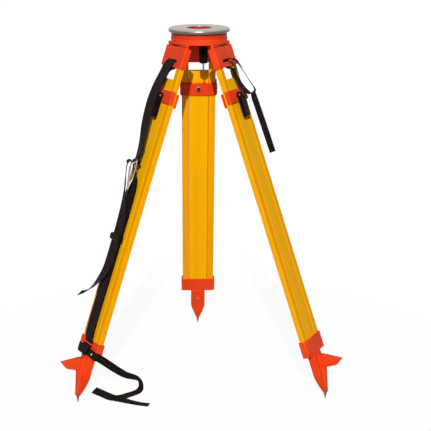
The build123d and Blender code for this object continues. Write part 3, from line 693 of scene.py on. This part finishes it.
# %% [markdown]
# A foot is one flowing casting, and no line shows where its tread grows out of its body. A lever is a
# moulding with soft corners all round. A bevel can't melt such corners, so these solids are remeshed as a
# skin of small cubes and then smoothed, which is what a founder's filleting wax does to a wooden pattern.

# %% Feet and levers
foot_cube, lever_cube, slider_cube = 0.0011, 0.0007, 0.0004
wax_passes, slider_passes = 5, 4
kept_faces = 0.4


def cast(node, leg, cube, passes, name):
    """A copy of a solid with soft corners, as a casting or a moulding has them."""
    piece = new_piece(name, merged_copy(node, name))
    piece.data.transform(PLACE[leg].inverted())
    modify(piece, "skin", "REMESH", mode="VOXEL", voxel_size=cube)
    modify(piece, "wax", "SMOOTH", factor=0.5, iterations=passes)
    modify(piece, "fewer_faces", "DECIMATE", ratio=kept_faces)
    plain_mesh(piece)
    piece.data.transform(PLACE[leg])
    smooth(piece.data, 60)
    paint(piece, finish_of(node))
    settle(piece, frame["nodes"][node]["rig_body"], SLOT[node], node)
    return len(piece.data.polygons)


for leg in LEGS:
    foot = cast(f"{leg}_foot", leg, foot_cube, wax_passes, f"{leg}_foot_cast")
    lever = cast(f"{leg}_clamp_lever", leg, lever_cube, wax_passes, f"{leg}_clamp_lever_moulded")
    print(leg, "foot and lever:", foot, "and", lever, "faces")
slider = cast("strap_slider", "left", slider_cube, slider_passes, "strap_slider_moulded")
print("slider:", slider, "faces")

# %% [markdown]
# ## Turned pieces
# The plate, the screw's stud and its knob are round. A curve could be spun with a Screw modifier, but a
# short loop that carries an outline round the axis also lets the radius wave, which gives the knob its
# flutes.

# %% Lathe
def clean(piece, merge=True):
    """Turns a closed mesh's faces outwards, once its doubles are merged and its flat faces dropped."""
    shape = bmesh.new()
    shape.from_mesh(piece.data)
    if merge:
        bmesh.ops.remove_doubles(shape, verts=shape.verts, dist=1e-7)
        bmesh.ops.dissolve_degenerate(shape, edges=shape.edges, dist=1e-8)
    bmesh.ops.recalc_face_normals(shape, faces=shape.faces)
    shape.to_mesh(piece.data)
    shape.free()


def lathe(name, outline, middle, sides, wave=None):
    """A closed outline of (radius, height) points, carried round an upright axis through `middle`."""
    turns = np.arange(sides) * 2 * pi / sides
    points = []
    for angle in turns:
        for radius, height in outline:
            reach = radius if wave is None else radius + wave(angle, height)
            points.append((middle[0] + reach * cos(angle), middle[1] + reach * sin(angle), height))
    count = len(outline)
    quads = []
    for i in range(sides):
        for j in range(count):
            here, there = i * count, (i + 1) % sides * count
            k = (j + 1) % count
            quads.append((here + j, there + j, there + k, here + k))
    mesh = bpy.data.meshes.new(name)
    mesh.from_pydata(points, [], quads)
    piece = new_piece(name, mesh)
    clean(piece)
    smooth(piece.data, 40)
    return piece

# %% [markdown]
# The plate is a round disk of bare metal with a hole. A cylinder with a Bevel modifier would come close,
# but a turned outline gives each corner its own radius. The rim is rounded a little more above than below.
# The hole's lip lies on the casting's spigot, so the outline steps in there.

# %% Head plate
def round_corner(radius, height, size, start, steps=5):
    """Points of a quarter circle about (radius, height), anticlockwise from `start` quarters."""
    angles = [(start + i / steps) * pi / 2 for i in range(steps + 1)]
    return [(radius + size * cos(angle), height + size * sin(angle)) for angle in angles]


plate_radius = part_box("head_plate")[1].x
plate_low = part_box("head_plate")[0].z
plate_sides = 192
hole_radius = 0.032
spigot_radius = 0.038
lip = 0.0025
edge_above, edge_below, edge_hole = 0.0036, 0.0026, 0.0008
outline = [(spigot_radius, HEAD_TOP - lip), (hole_radius, HEAD_TOP - lip)]
outline += round_corner(hole_radius + edge_hole, HEAD_TOP - edge_hole, edge_hole, 1)[::-1]
outline += round_corner(plate_radius - edge_above, HEAD_TOP - edge_above, edge_above, 0)[::-1]
outline += round_corner(plate_radius - edge_below, plate_low + edge_below, edge_below, 3)[::-1]
outline += [(spigot_radius, plate_low)]
plate = lathe("head_plate_turned", outline, (0, 0), plate_sides)
paint(plate, FINISH["bare_aluminium"])
settle(plate, "head", "bare_aluminium", "head_plate")
print(f"head plate: {plate_radius * 2:.3f} m wide, {len(plate.data.polygons)} faces")

# %% [markdown]
# The instrument's screw carries a long black knob with flutes for the fingers. The flutes could be cut by a
# Boolean, but on the lathe a radius that waves with the angle leaves even faces.

# %% Knob
screw_low, screw_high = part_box("centring_screw")
screw_axis = ((screw_low.x + screw_high.x) / 2, (screw_low.y + screw_high.y) / 2)
bore = 0.0005                 # the lathe leaves a fine bore along the axis
knob_inset = 0.0015           # from the shoulder, the screw's widest part, to the knob's side
knob_radius = (screw_high.x - screw_low.x) / 2 - knob_inset
knob_long, knob_edge, knob_sides = 0.054, 0.003, 216
ring_count, ring_step = 15, 0.003
neck_radius, neck_long = 0.0075, 0.009
flutes, flute_deep, flute_end = 18, 0.0009, 0.006
flute_fade, flute_round = 0.6, 0.7
knob_top = screw_low.z + knob_long
neck_top = knob_top + neck_long


def flute(angle, height):
    """Depth of the flutes at one place on the knob."""
    ends = min(height - screw_low.z, knob_top - height) / flute_end
    depth = flute_deep * max(0.0, min(1.0, ends - flute_fade))
    return -depth * (0.5 - 0.5 * cos(flutes * angle)) ** flute_round


knob_outline = [(bore, screw_low.z)]
knob_outline += round_corner(knob_radius - knob_edge, screw_low.z + knob_edge, knob_edge, 3)
knob_outline += [(knob_radius, screw_low.z + flute_end + i * ring_step) for i in range(ring_count)]
knob_outline += round_corner(knob_radius - knob_edge, knob_top - knob_edge, knob_edge, 0)
knob_outline += [(neck_radius, knob_top), (neck_radius, neck_top), (bore, neck_top)]
knob = lathe("centring_knob_moulded", knob_outline, screw_axis, knob_sides, flute)
paint(knob, FINISH["black_plastic"])
settle(knob, "centring_screw", "black_plastic", "centring_screw")
print(f"knob: {flutes} flutes, {len(knob.data.polygons)} faces")

# %% [markdown]
# ## Threads, screws and stitches
# These repeat or follow a path, so Geometry Nodes make them. An Array modifier repeats a mesh too, but a
# tree can take its sizes as named inputs and put a copy on any point. A Realize Instances node turns the
# copies into real faces before the modifier is worked into the mesh.

# %% Geometry Nodes helpers
def open_tree(name, sizes):
    """A tree with a named input for each size, and those inputs."""
    tree = bpy.data.node_groups.new(name, "GeometryNodeTree")
    kinds = {float: "NodeSocketFloat", tuple: "NodeSocketVector", bpy.types.Material: "NodeSocketMaterial"}
    tree.interface.new_socket("Geometry", in_out="INPUT", socket_type="NodeSocketGeometry")
    for label, value in sizes.items():
        tree.interface.new_socket(label, in_out="INPUT", socket_type=kinds[type(value)])
    tree.interface.new_socket("Geometry", in_out="OUTPUT", socket_type="NodeSocketGeometry")
    return tree, tree.nodes.new("NodeGroupInput").outputs


def close_tree(tree, geometry, material):
    real = add(tree, "GeometryNodeRealizeInstances", {"Geometry": geometry})
    made = add(tree, "GeometryNodeSetMaterial", {"Geometry": real, "Material": material})
    add(tree, "NodeGroupOutput", {"Geometry": made})
    return tree


def grown(name, tree, host, sizes):
    """What a tree makes of a host mesh, as a plain mesh."""
    piece = new_piece(name, host)
    growth = modify(piece, "growth", "NODES", node_group=tree)
    for item in tree.interface.items_tree:
        if item.in_out == "INPUT" and item.name in sizes:
            growth[item.identifier] = sizes[item.name]
    return plain_mesh(piece)

# %% [markdown]
# The screw itself is a steel stud with a coarse thread of eleven turns to the inch. A Screw modifier could
# sweep the thread, but a tree has its pitch and its turns as inputs. The ridge is a Spiral curve with a
# four-sided profile, half sunk in the stud's core.

# %% Threaded stud
shoulder_radius, shoulder_long = 0.0125, 0.0045
shank_radius, shank_long = 0.0085, 0.0072
stud_radius, stud_tip, stud_sides = 0.0079375, 0.001, 64
thread_pitch, thread_deep, coil_steps = 0.0254 / 11, 0.0012, 40
thread_start, thread_margin = 0.0006, 0.0022
shoulder_top = neck_top + shoulder_long
core_radius = stud_radius - thread_deep
stud_low = shoulder_top + shank_long
stud_outline = [(bore, neck_top), (shoulder_radius, neck_top), (shoulder_radius, shoulder_top)]
stud_outline += [(shank_radius, shoulder_top), (shank_radius, stud_low), (core_radius, stud_low)]
stud_outline += [(core_radius, screw_high.z - stud_tip), (core_radius - stud_tip, screw_high.z)]
stud_outline += [(bore, screw_high.z)]
stud = lathe("centring_stud_core", stud_outline, screw_axis, stud_sides)

thread_turns = (screw_high.z - stud_low - thread_margin) / thread_pitch
thread_sizes = {"Radius": core_radius, "Pitch": thread_pitch, "Turns": thread_turns, "Depth": thread_deep,
                "Foot": (*screw_axis, stud_low + thread_start), "Steel": dark_steel}
tree, size = open_tree("thread_ridge", thread_sizes)
rise = maths(tree, "MULTIPLY", size["Pitch"], size["Turns"])
coil = add(tree, "GeometryNodeCurveSpiral", {
    "Resolution": coil_steps, "Rotations": size["Turns"], "Start Radius": size["Radius"],
    "End Radius": size["Radius"], "Height": rise})
shape = add(tree, "GeometryNodeCurvePrimitiveCircle", {"Resolution": 4, "Radius": size["Depth"]})
ridge = add(tree, "GeometryNodeCurveToMesh", {
    "Curve": coil, "Profile Curve": shape, "Fill Caps": True})
moved = add(tree, "GeometryNodeTransform", {"Geometry": ridge, "Translation": size["Foot"]})
joined = add(tree, "GeometryNodeJoinGeometry")
tree.links.new(moved, joined.node.inputs[0])
tree.links.new(size["Geometry"], joined.node.inputs[0])
close_tree(tree, joined, size["Steel"])
stud_threaded = grown("centring_stud_threaded", tree, stud.data, thread_sizes)
bpy.data.objects.remove(stud)
settle(stud_threaded, "centring_screw", "zinc_steel", "centring_screw")
print(f"stud: {thread_turns:.1f} turns of thread, one every {thread_pitch / MM:.3f} mm")

# %% [markdown]
# Four countersunk screws hold the rails of each leg. They could be modelled one by one, but they are all
# alike. A head is a low cone with a cross cut into it by a Mesh Boolean, and one copy sits on each point of
# a host mesh, turned to face the way that the point's own attribute says.

# %% Rail screws
rim_share, head_sides = 0.84, 28
head_sunk = 0.0005
half_head = 0.004
screw_sizes = {"Radius": 0.0041, "Height": 0.0011, "Slot length": 0.0046, "Slot width": 0.0011,
               "Paint": FINISH["orange_paint"]}


def points_mesh(name, places, facings):
    """A mesh of loose points with the direction that each one faces."""
    mesh = bpy.data.meshes.new(name)
    mesh.from_pydata([tuple(place) for place in places], [], [])
    layer = mesh.attributes.new("facing", "FLOAT_VECTOR", "POINT")
    for item, facing in zip(layer.data, facings):
        item.vector = facing
    return mesh


def cross_head_tree(sizes):
    tree, size = open_tree("cross_head_screws", sizes)
    high = size["Height"]
    rim = maths(tree, "MULTIPLY", size["Radius"], rim_share)
    dome = add(tree, "GeometryNodeMeshCone", {
        "Vertices": head_sides, "Radius Top": rim, "Radius Bottom": size["Radius"], "Depth": high})
    arm = add(tree, "ShaderNodeCombineXYZ", {0: size["Slot length"], 1: size["Slot width"], 2: high})
    first = add(tree, "GeometryNodeMeshCube", {"Size": arm})
    second = add(tree, "GeometryNodeTransform", {"Geometry": first, "Rotation": (0, 0, pi / 2)})
    lift = add(tree, "ShaderNodeCombineXYZ", {2: high})
    head = add(tree, "GeometryNodeMeshBoolean", {"Mesh 1": dome}, operation="DIFFERENCE", solver="MANIFOLD")
    for bar in (first, second):
        cut = add(tree, "GeometryNodeTransform", {"Geometry": bar, "Translation": lift})
        tree.links.new(cut, head.node.inputs["Mesh 2"])
    facing = add(tree, "GeometryNodeInputNamedAttribute", {"Name": "facing"}, data_type="FLOAT_VECTOR")
    turn = add(tree, "FunctionNodeAlignRotationToVector", {"Vector": facing}, axis="Z")
    copies = add(tree, "GeometryNodeInstanceOnPoints", {
        "Points": size["Geometry"], "Instance": head, "Rotation": turn})
    return close_tree(tree, copies, size["Paint"])


cross_heads = cross_head_tree(screw_sizes)
for leg in LEGS:
    low, high = leg_box(f"{leg}_rail_screws", leg)
    places, facings = [], []
    for z in (low.z + half_head, high.z - half_head):
        for way in (-1, 1):
            places.append(PLACE[leg] @ Vector((0, way * (high.y - head_sunk), z)))
            facings.append(PLACE[leg].to_3x3() @ Vector((0, way, 0)))
    spots = points_mesh("screw_places", places, facings)
    heads = grown(f"{leg}_rail_screw_heads", cross_heads, spots, screw_sizes)
    settle(heads, f"{leg}_leg", "orange_paint", f"{leg}_rail_screws")
print("rail screws:", len(places) * len(LEGS))

# %% [markdown]
# ## The straps
# Webbing is a flat ribbon that bends easily one way and hardly at all the other. A cloth simulation could
# drape it, but it would find folds of its own, and here they are known from the photograph. Each strap is
# given by a few stations: a point and the direction of its width there. A smooth curve runs through them.

# %% Course of a strap
def between(first, second, start, end, now):
    return (end - now) / (end - start) * first + (now - start) / (end - start) * second


def smooth_line(values, steps):
    """Points of a smooth curve through the values, a few steps to each span."""
    values = np.array(values, float)
    padded = np.vstack([2 * values[0] - values[1], values, 2 * values[-1] - values[-2]])
    line = []
    for i in range(len(values) - 1):
        p0, p1, p2, p3 = padded[i:i + 4]
        pairs = ((p0, p1), (p1, p2), (p2, p3))
        gap = [max(np.linalg.norm(b[:3] - a[:3]), 1e-9) ** 0.5 for a, b in pairs]
        t0, t1 = 0.0, gap[0]
        t2, t3 = t1 + gap[1], t1 + gap[1] + gap[2]
        for t in np.linspace(t1, t2, steps, endpoint=False):
            a1 = between(p0, p1, t0, t1, t)
            a2 = between(p1, p2, t1, t2, t)
            a3 = between(p2, p3, t2, t3, t)
            b1 = between(a1, a2, t0, t2, t)
            b2 = between(a2, a3, t1, t3, t)
            line.append(between(b1, b2, t1, t2, t))
    line.append(values[-1])
    return np.array(line)


def unit_rows(rows):
    return rows / np.linalg.norm(rows, axis=1)[:, None]


def strap_course(stations, steps):
    """Centre, width direction, face direction and run of a strap through (point, across) stations."""
    line = smooth_line([(*point, *across) for point, across in stations], steps)
    centre, across = line[:, :3], line[:, 3:]
    along = unit_rows(np.gradient(centre, axis=0))
    across = unit_rows(across - along * np.sum(across * along, axis=1)[:, None])
    run = np.concatenate([[0], np.cumsum(np.linalg.norm(np.diff(centre, axis=0), axis=1))])
    return {"centre": centre, "across": across, "face": np.cross(along, across), "run": run}

# %% [markdown]
# Webbing is a thin slab with thicker woven edges. A flat strip with a Solidify modifier would lack those
# edges, so a cross-section that has them is carried along the course.

# %% Ribbons
SELVEDGE = [
    (-1, 0.35), (-0.985, 0.75), (-0.93, 1), (-0.86, 0.98), (-0.8, 0.84), (-0.4, 0.86), (0, 0.88),
    (0.4, 0.86), (0.8, 0.84), (0.86, 0.98), (0.93, 1), (0.985, 0.75), (1, 0.35)]


def ribbon(name, stations, wide, thick, steps=6):
    """A strap's mesh through stations in metres, with a UV map in metres. Gives its course too."""
    course = strap_course(stations, steps)
    centre, across, face = course["centre"], course["across"], course["face"]
    section = [(share * wide / 2, bulge * thick / 2) for share, bulge in SELVEDGE]
    section += [(share * wide / 2, -bulge * thick / 2) for share, bulge in SELVEDGE[::-1]]
    count = len(section)
    points = [centre[i] + across[i] * u + face[i] * w for i in range(len(centre)) for u, w in section]
    quads = []
    for i in range(len(centre) - 1):
        for j in range(count):
            k = (j + 1) % count
            quads.append((i * count + j, i * count + k, (i + 1) * count + k, (i + 1) * count + j))
    last = (len(centre) - 1) * count
    quads.append(tuple(range(count))[::-1])
    quads.append(tuple(last + j for j in range(count)))
    mesh = bpy.data.meshes.new(name)
    mesh.from_pydata([tuple(point) for point in points], [], quads)
    layer = mesh.uv_layers.new(name="webbing")
    for corner in mesh.loops:
        i, j = divmod(corner.vertex_index, count)
        layer.data[corner.index].uv = (course["run"][i], section[j][0])
    smooth(mesh, 50)
    mesh.materials.append(FINISH["black_webbing"])
    piece = new_piece(name, mesh)
    clean(piece, merge=False)
    return piece, course

# %% [markdown]
# The carrying strap hangs on the left leg. Its upper length loops round the bar of the cap, falls over the
# clamp's lever and ends round the top bar of the buckle. Its lower length rises from the collar, goes
# through the slider and over the buckle's second bar, comes back through the slider and leaves a loose
# tail. A straight ribbon could be bent and twisted by modifiers, but points on the leg's middle plane are
# easier to set against the photograph. The buckle hangs turned, so both lengths turn towards it.

# %% Carrying strap
def on_leg(leg, stations):
    """Stations from a leg's own axes and millimetres to the model's."""
    turn = PLACE[leg].to_3x3()
    return [(tuple(PLACE[leg] @ (Vector(point) * MM)), tuple(turn @ Vector(across)))
            for point, across in stations]


def turned_on_leg(points):
    """Stations for (x, z) or (x, z, turn) points on a leg's middle plane, with the width across the leg."""
    stations = []
    for x, z, *turn in points:
        angle = radians(turn[0]) if turn else 0.0
        stations.append(((x, 0.0, z), (sin(angle), cos(angle), 0.0)))
    return stations


bar_loop = [(9.5, -51.5), (5.3, -49.0), (5.1, -33.0), (8.2, -30.6)]
carry_wide, carry_thick = 40.0, 1.8
buckle_turn = 28.7
sewn_end = [(27.4, -95.0), (21.6, -70.0), (17.2, -57.5)]
carry_down = [
    (14.5, -36.0), (24.8, -74.0), (30.6, -100.0), (33.6, -122.0), (35.0, -142.0), (34.6, -167.0),
    (33.2, -195.0, 2.0), (30.6, -220.0, 5.0), (27.4, -246.0, 10.0), (26.4, -272.0, 15.0),
    (28.0, -287.0, 21.0), (30.7, -298.0, buckle_turn)]
carry_return = [
    (29.8, -301.9, buckle_turn), (26.4, -303.2, buckle_turn), (23.0, -301.9, buckle_turn),
    (22.0, -299.0, buckle_turn), (23.8, -286.0, 20.0), (23.8, -258.0, 12.0)]
upper_stations = on_leg("left", turned_on_leg(sewn_end + bar_loop + carry_down + carry_return))
carry_size = (carry_wide * MM, carry_thick * MM)
upper_strap, upper_course = ribbon("upper_strap_webbing", upper_stations, *carry_size)

strap_rise = [
    (25.0, -814.0), (20.95, -800.0), (11.75, -788.5), (11.75, -781.0), (16.0, -765.0), (16.0, -565.0),
    (16.0, -400.0), (17.0, -352.0, 8.0), (21.5, -330.0, 18.0), (29.0, -317.0, 26.0),
    (35.0, -309.0, buckle_turn), (40.5, -304.6, buckle_turn), (46.0, -305.2, buckle_turn),
    (49.2, -310.0, buckle_turn), (49.8, -318.0, buckle_turn), (48.4, -328.0, buckle_turn),
    (44.2, -344.0, 28.0), (41.0, -358.0, 26.0), (36.6, -377.0, 26.0), (30.6, -400.0, 18.0),
    (25.0, -424.0, 8.0), (21.0, -450.0), (19.5, -485.0), (19.5, -520.0), (20.0, -565.0)]
strap_tail = [
    ((25.0, 0.0, -595.0), (0.12, 0.99, 0.0)), ((36.0, 0.0, -620.0), (0.3, 0.95, 0.05)),
    ((47.0, 0.0, -639.0), (0.42, 0.89, 0.14)), ((61.6, 0.0, -653.0), (0.4, 0.84, 0.32)),
    ((78.4, 0.0, -661.0), (0.3, 0.8, 0.48))]
lower_stations = on_leg("left", turned_on_leg(strap_rise) + strap_tail)
lower_strap, lower_course = ribbon("lower_strap_webbing", lower_stations, *carry_size)
print(f"carrying strap: {upper_course['run'][-1]:.3f} m and {lower_course['run'][-1]:.3f} m")

# %% [markdown]
# A short strap hangs from the right cap. Its loop is sewn to itself, and its tail is turned to one side. An
# angle at each point could turn it, as on the carrying strap. Here the direction of its width is written
# out instead.

# %% Closing strap
small_wide, small_thick = 20.0, 1.6
closing_tail = [
    ((57.2, 0.0, -286.0), (0.35, 0.94, 0.0)), ((56.2, 0.0, -246.0), (0.38, 0.92, 0.0)),
    ((55.1, 0.0, -206.0), (0.38, 0.92, 0.0)), ((53.8, 0.0, -165.0), (0.35, 0.94, 0.0)),
    ((52.8, 0.0, -138.0), (0.3, 0.95, 0.0)), ((54.0, 0.0, -129.0), (0.1, 0.99, 0.0)),
    ((61.0, 0.0, -121.0), (-0.3, 0.95, 0.0)), ((54.0, 0.0, -99.0), (-0.45, 0.89, 0.0)),
    ((45.4, 0.0, -69.5), (-0.45, 0.89, 0.0)), ((38.0, 0.0, -48.0), (-0.3, 0.95, 0.0)),
    ((31.6, 0.0, -36.0), (-0.1, 0.99, 0.0)), ((21.0, 0.0, -31.0), (0.0, 1.0, 0.0))]
closing_return = [(18.0, -57.0), (21.0, -79.0), (29.0, -104.0), (39.0, -122.0), (45.0, -129.0)]
closing_stations = on_leg("right", closing_tail + turned_on_leg(bar_loop[::-1] + closing_return))
small_size = (small_wide * MM, small_thick * MM)
closing_strap, closing_course = ribbon("closing_strap_webbing", closing_stations, *small_size)
print(f"closing strap: {closing_course['run'][-1]:.3f} m")

# %% [markdown]
# The tie strap is riveted to the left collar. It goes round the collar's edge, hangs to the ground, folds
# back on itself there and ends in a tail. On the ground it stands a little on its near edge. Those stations
# could be typed too, but a short function works them out, so that the low edge stays at one height and the
# fold lies one ply higher.

# %% Tie strap
tie_z = -807.0
tie_wrap = [
    ((11.1, -45.0, tie_z), (0, 0, 1)), ((11.1, 45.0, tie_z), (0, 0, 1)),
    ((10.1, 49.1, tie_z - 0.3), (0, 0, 1)), ((5.5, 50.3, tie_z - 0.8), (0, 0, 1)),
    ((-10.0, 50.9, tie_z - 6.0), (0, 0, 1))]
tie_air = [
    ((-203.0, -166.0, 68.0), (0.1, -0.4, 0.9)), ((-174.0, -136.0, 43.0), (0.25, -0.6, 0.75)),
    ((-162.0, -122.0, 25.0), (0.5, -0.8, 0.3)), ((-161.0, -119.0, 9.0), (0.64, -0.76, 0.0)),
    ((-166.0, -127.0, 3.2), (0.62, -0.76, -0.1))]
tie_under = [
    (-176.0, -140.0, 10), (-192.0, -153.0, 12), (-208.0, -166.0, 15), (-224.0, -175.0, 22),
    (-240.0, -171.0, 26), (-258.0, -154.0, 28), (-283.0, -129.0, 28)]
tie_back = [
    (-258.0, -154.0, 28), (-240.0, -171.0, 26), (-222.0, -181.0, 18), (-199.0, -191.0, 8),
    (-166.0, -203.0, 0), (-138.0, -212.0, 0)]
tie_ground, tie_ply, fold_out = 1.0, 1.9, 2.0


def tie_on_ground():
    """Stations of the stretch that lies on the ground and folds back over itself."""
    end = Vector(tie_under[-1][:2])
    last_run = (end - Vector(tie_under[-2][:2])).normalized()
    fold = end + last_run * fold_out
    lean_end = tie_under[-1][2]
    route = [(*point, 0.0) for point in tie_under]
    route += [(*fold, lean_end, tie_ply / 2), (*end, lean_end, tie_ply)]
    lifts = (tie_ply, tie_ply, tie_ply, tie_ply * 0.8, 0.0, 0.0)
    route += [(*point, lift) for point, lift in zip(tie_back, lifts)]
    turn = len(tie_under)
    stations = []
    for i, (x, y, lean, lift) in enumerate(route):
        near = Vector(route[max(i - 1, 0)][:2])
        ahead = Vector(route[min(i + 1, len(route) - 1)][:2]) - near
        ahead = last_run if turn - 1 <= i <= turn + 1 else ahead.normalized()
        sign = -1 if i > turn + 1 else 1
        low_side = Vector((-ahead.y, ahead.x, 0)) * sign
        tilt = radians(lean)
        across = low_side * cos(tilt) - Vector((0, 0, 1)) * sin(tilt)
        normal = low_side * sin(tilt) + Vector((0, 0, 1)) * cos(tilt)
        rest = Vector((x, y, tie_ground + small_wide / 2 * sin(tilt)))
        stations.append((tuple(rest + normal * lift), tuple(across)))
    return stations


def in_metres(stations):
    return [(tuple(Vector(point) * MM), across) for point, across in stations]


tie_stations = on_leg("left", tie_wrap) + in_metres(tie_air + tie_on_ground())
tie_strap, tie_course = ribbon("tie_strap_webbing", tie_stations, *small_size, steps=5)
tie_floor = min(vertex.co.z for vertex in tie_strap.data.vertices)
print(f"tie strap: {tie_course['run'][-1]:.3f} m, its lowest point at {tie_floor / MM:.2f} mm")

# %% [markdown]
# A loop of webbing is closed with a sewn box and a cross inside it. Its lines could be drawn on the strap's
# UV map, but stitches need places in space, so the lines follow the strap's own course.

# %% Lines of the sewn boxes
def nearest_run(course, leg, x, z):
    """Run along a strap at its point nearest to (x, z) on a leg's middle plane."""
    place = np.array(PLACE[leg] @ (Vector((x, 0, z)) * MM))
    return course["run"][np.argmin(np.linalg.norm(course["centre"] - place, axis=1))]


def on_strap(course, run, offset, lift):
    """A point on a strap at a run, an offset from its middle line and a lift off its middle sheet."""
    def at(rows):
        return np.array([np.interp(run, course["run"], rows[:, i]) for i in range(3)])
    return at(course["centre"]) + at(course["across"]) * offset + at(course["face"]) * lift


def sewn_box(course, start, end, half, lift):
    """Lines of a sewn box with a cross, as lists of points."""
    corners = [(start, -half), (end, -half), (end, half), (start, half), (start, -half)]
    strokes = list(zip(corners, corners[1:])) + [(corners[0], corners[2]), (corners[1], corners[3])]
    lines = []
    for (run_a, side_a), (run_b, side_b) in strokes:
        shares = np.linspace(0, 1, 12)
        lines.append([on_strap(course, run_a + (run_b - run_a) * s, side_a + (side_b - side_a) * s, lift)
                      for s in shares])
    return lines


carry_half, small_half = carry_wide * MM / 2 - 0.005, small_wide * MM / 2 - 0.0035
carry_lift, small_lift = carry_thick * MM / 2, small_thick * MM / 2
upper_boxes = (((21.0, -60.0), (29.4, -94.0)), ((27.2, -255.0), (27.6, -284.0)))
closing_boxes = (((61.0, -121.0), (52.0, -92.0)),)
sewn_rows = (
    ("upper_strap", "left", upper_course, upper_boxes, carry_half, carry_lift),
    ("closing_strap", "right", closing_course, closing_boxes, small_half, -small_lift),
)
SEAM_LINES = {}
for node, leg, course, boxes, half, lift in sewn_rows:
    lines = []
    for start, end in boxes:
        runs = [nearest_run(course, leg, *spot) for spot in (start, end)]
        lines += sewn_box(course, *runs, half, lift)
    SEAM_LINES[node] = lines
    print(f"sewn boxes on {node}: {len(boxes)}, of {len(lines) // len(boxes)} lines each")

# %% [markdown]
# A bump in the material could draw the stitches, but thread stands up from the cloth. A Resample Curve node
# sets their pitch along the lines, and a small ball, drawn out into a stitch, is turned to the line at every
# point.

# %% Stitches
def black_yarn():
    """Sewing thread, a lighter black than the webbing."""
    material, tree, place = finish_tree("black_yarn")
    twist = noise(tree, place, 1500, 2)
    base = blend_colour(tree, twist, seen(46, 38, 40), seen(72, 62, 64))
    return dressed(material, {"Base Color": base, "Roughness": spread(tree, twist, 0.5, 0.7)})


def lines_mesh(name, lines):
    points, links = [], []
    for line in lines:
        links += [(len(points) + i, len(points) + i + 1) for i in range(len(line) - 1)]
        points += [tuple(point) for point in line]
    mesh = bpy.data.meshes.new(name)
    mesh.from_pydata(points, links, [])
    return mesh


def stitch_tree(sizes):
    tree, size = open_tree("stitches", sizes)
    wide = size["Yarn width"]
    lines = add(tree, "GeometryNodeMeshToCurve", {"Mesh": size["Geometry"]})
    spaced = add(tree, "GeometryNodeResampleCurve", {"Curve": lines, "Length": size["Pitch"]}, mode="LENGTH")
    tangent = add(tree, "GeometryNodeInputTangent")
    turn = add(tree, "FunctionNodeAlignRotationToVector", {"Vector": tangent}, axis="X")
    ball = add(tree, "GeometryNodeMeshIcoSphere", {"Radius": 0.5, "Subdivisions": 1})
    drawn = add(tree, "ShaderNodeCombineXYZ", {0: size["Stitch"], 1: wide, 2: wide})
    copies = add(tree, "GeometryNodeInstanceOnPoints", {
        "Points": spaced, "Instance": ball, "Rotation": turn, "Scale": drawn})
    return close_tree(tree, copies, size["Yarn"])


stitch_sizes = {"Pitch": 0.0042, "Stitch": 0.0034, "Yarn width": 0.0008, "Yarn": black_yarn()}
stitches = stitch_tree(stitch_sizes)
SEAMS = {}
for node, leg, *_ in sewn_rows:
    seam_mesh = lines_mesh(f"{node}_seams", SEAM_LINES[node])
    seam = grown(f"{node}_stitches", stitches, seam_mesh, stitch_sizes)
    settle(seam, f"{leg}_leg", "black_webbing")
    SEAMS[node] = seam
    print(seam.name, len(seam.data.polygons), "faces")

# %% [markdown]
# The straps ride on their legs. When a lever opens or a lower leg slides out, the clamp needs the room
# where the webbing hangs, and a real strap is simply pushed aside. That could be simulated for each pose.
# Here only the way, the room and the share for gathering each ribbon aside are worked out, towards its leg
# for the tie strap, and nothing moves the straps.

# %% Straps take the place of their solids
strap_rows = (
    (upper_strap, upper_course, "left", "upper_strap", carry_wide, "left_clamp"),
    (lower_strap, lower_course, "left", "lower_strap", carry_wide, "left_extend"),
    (closing_strap, closing_course, "right", "closing_strap", small_wide, "right_clamp"),
    (tie_strap, tie_course, "left", "tie_strap", small_wide, "left_spread"),
)
aside, aside_keep = 26 * MM, 0.24
tie_home, tie_keep = 11.1 * MM, 0.36
for strap, course, leg, node, wide, joint in strap_rows:
    settle(strap, f"{leg}_leg", "black_webbing", node)
    sewn = [SEAMS[node]] if node in SEAMS else []
    turn = PLACE[leg].to_3x3()
    way, home, keep = (turn.col[1], (0, aside, 0), aside_keep)
    if node == "tie_strap":
        way, home, keep = (turn.col[0], (tie_home, 0, 0), tie_keep)
    for piece in [strap, *sewn]:
        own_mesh(piece)
print("straps:", ", ".join(row[3] for row in strap_rows))
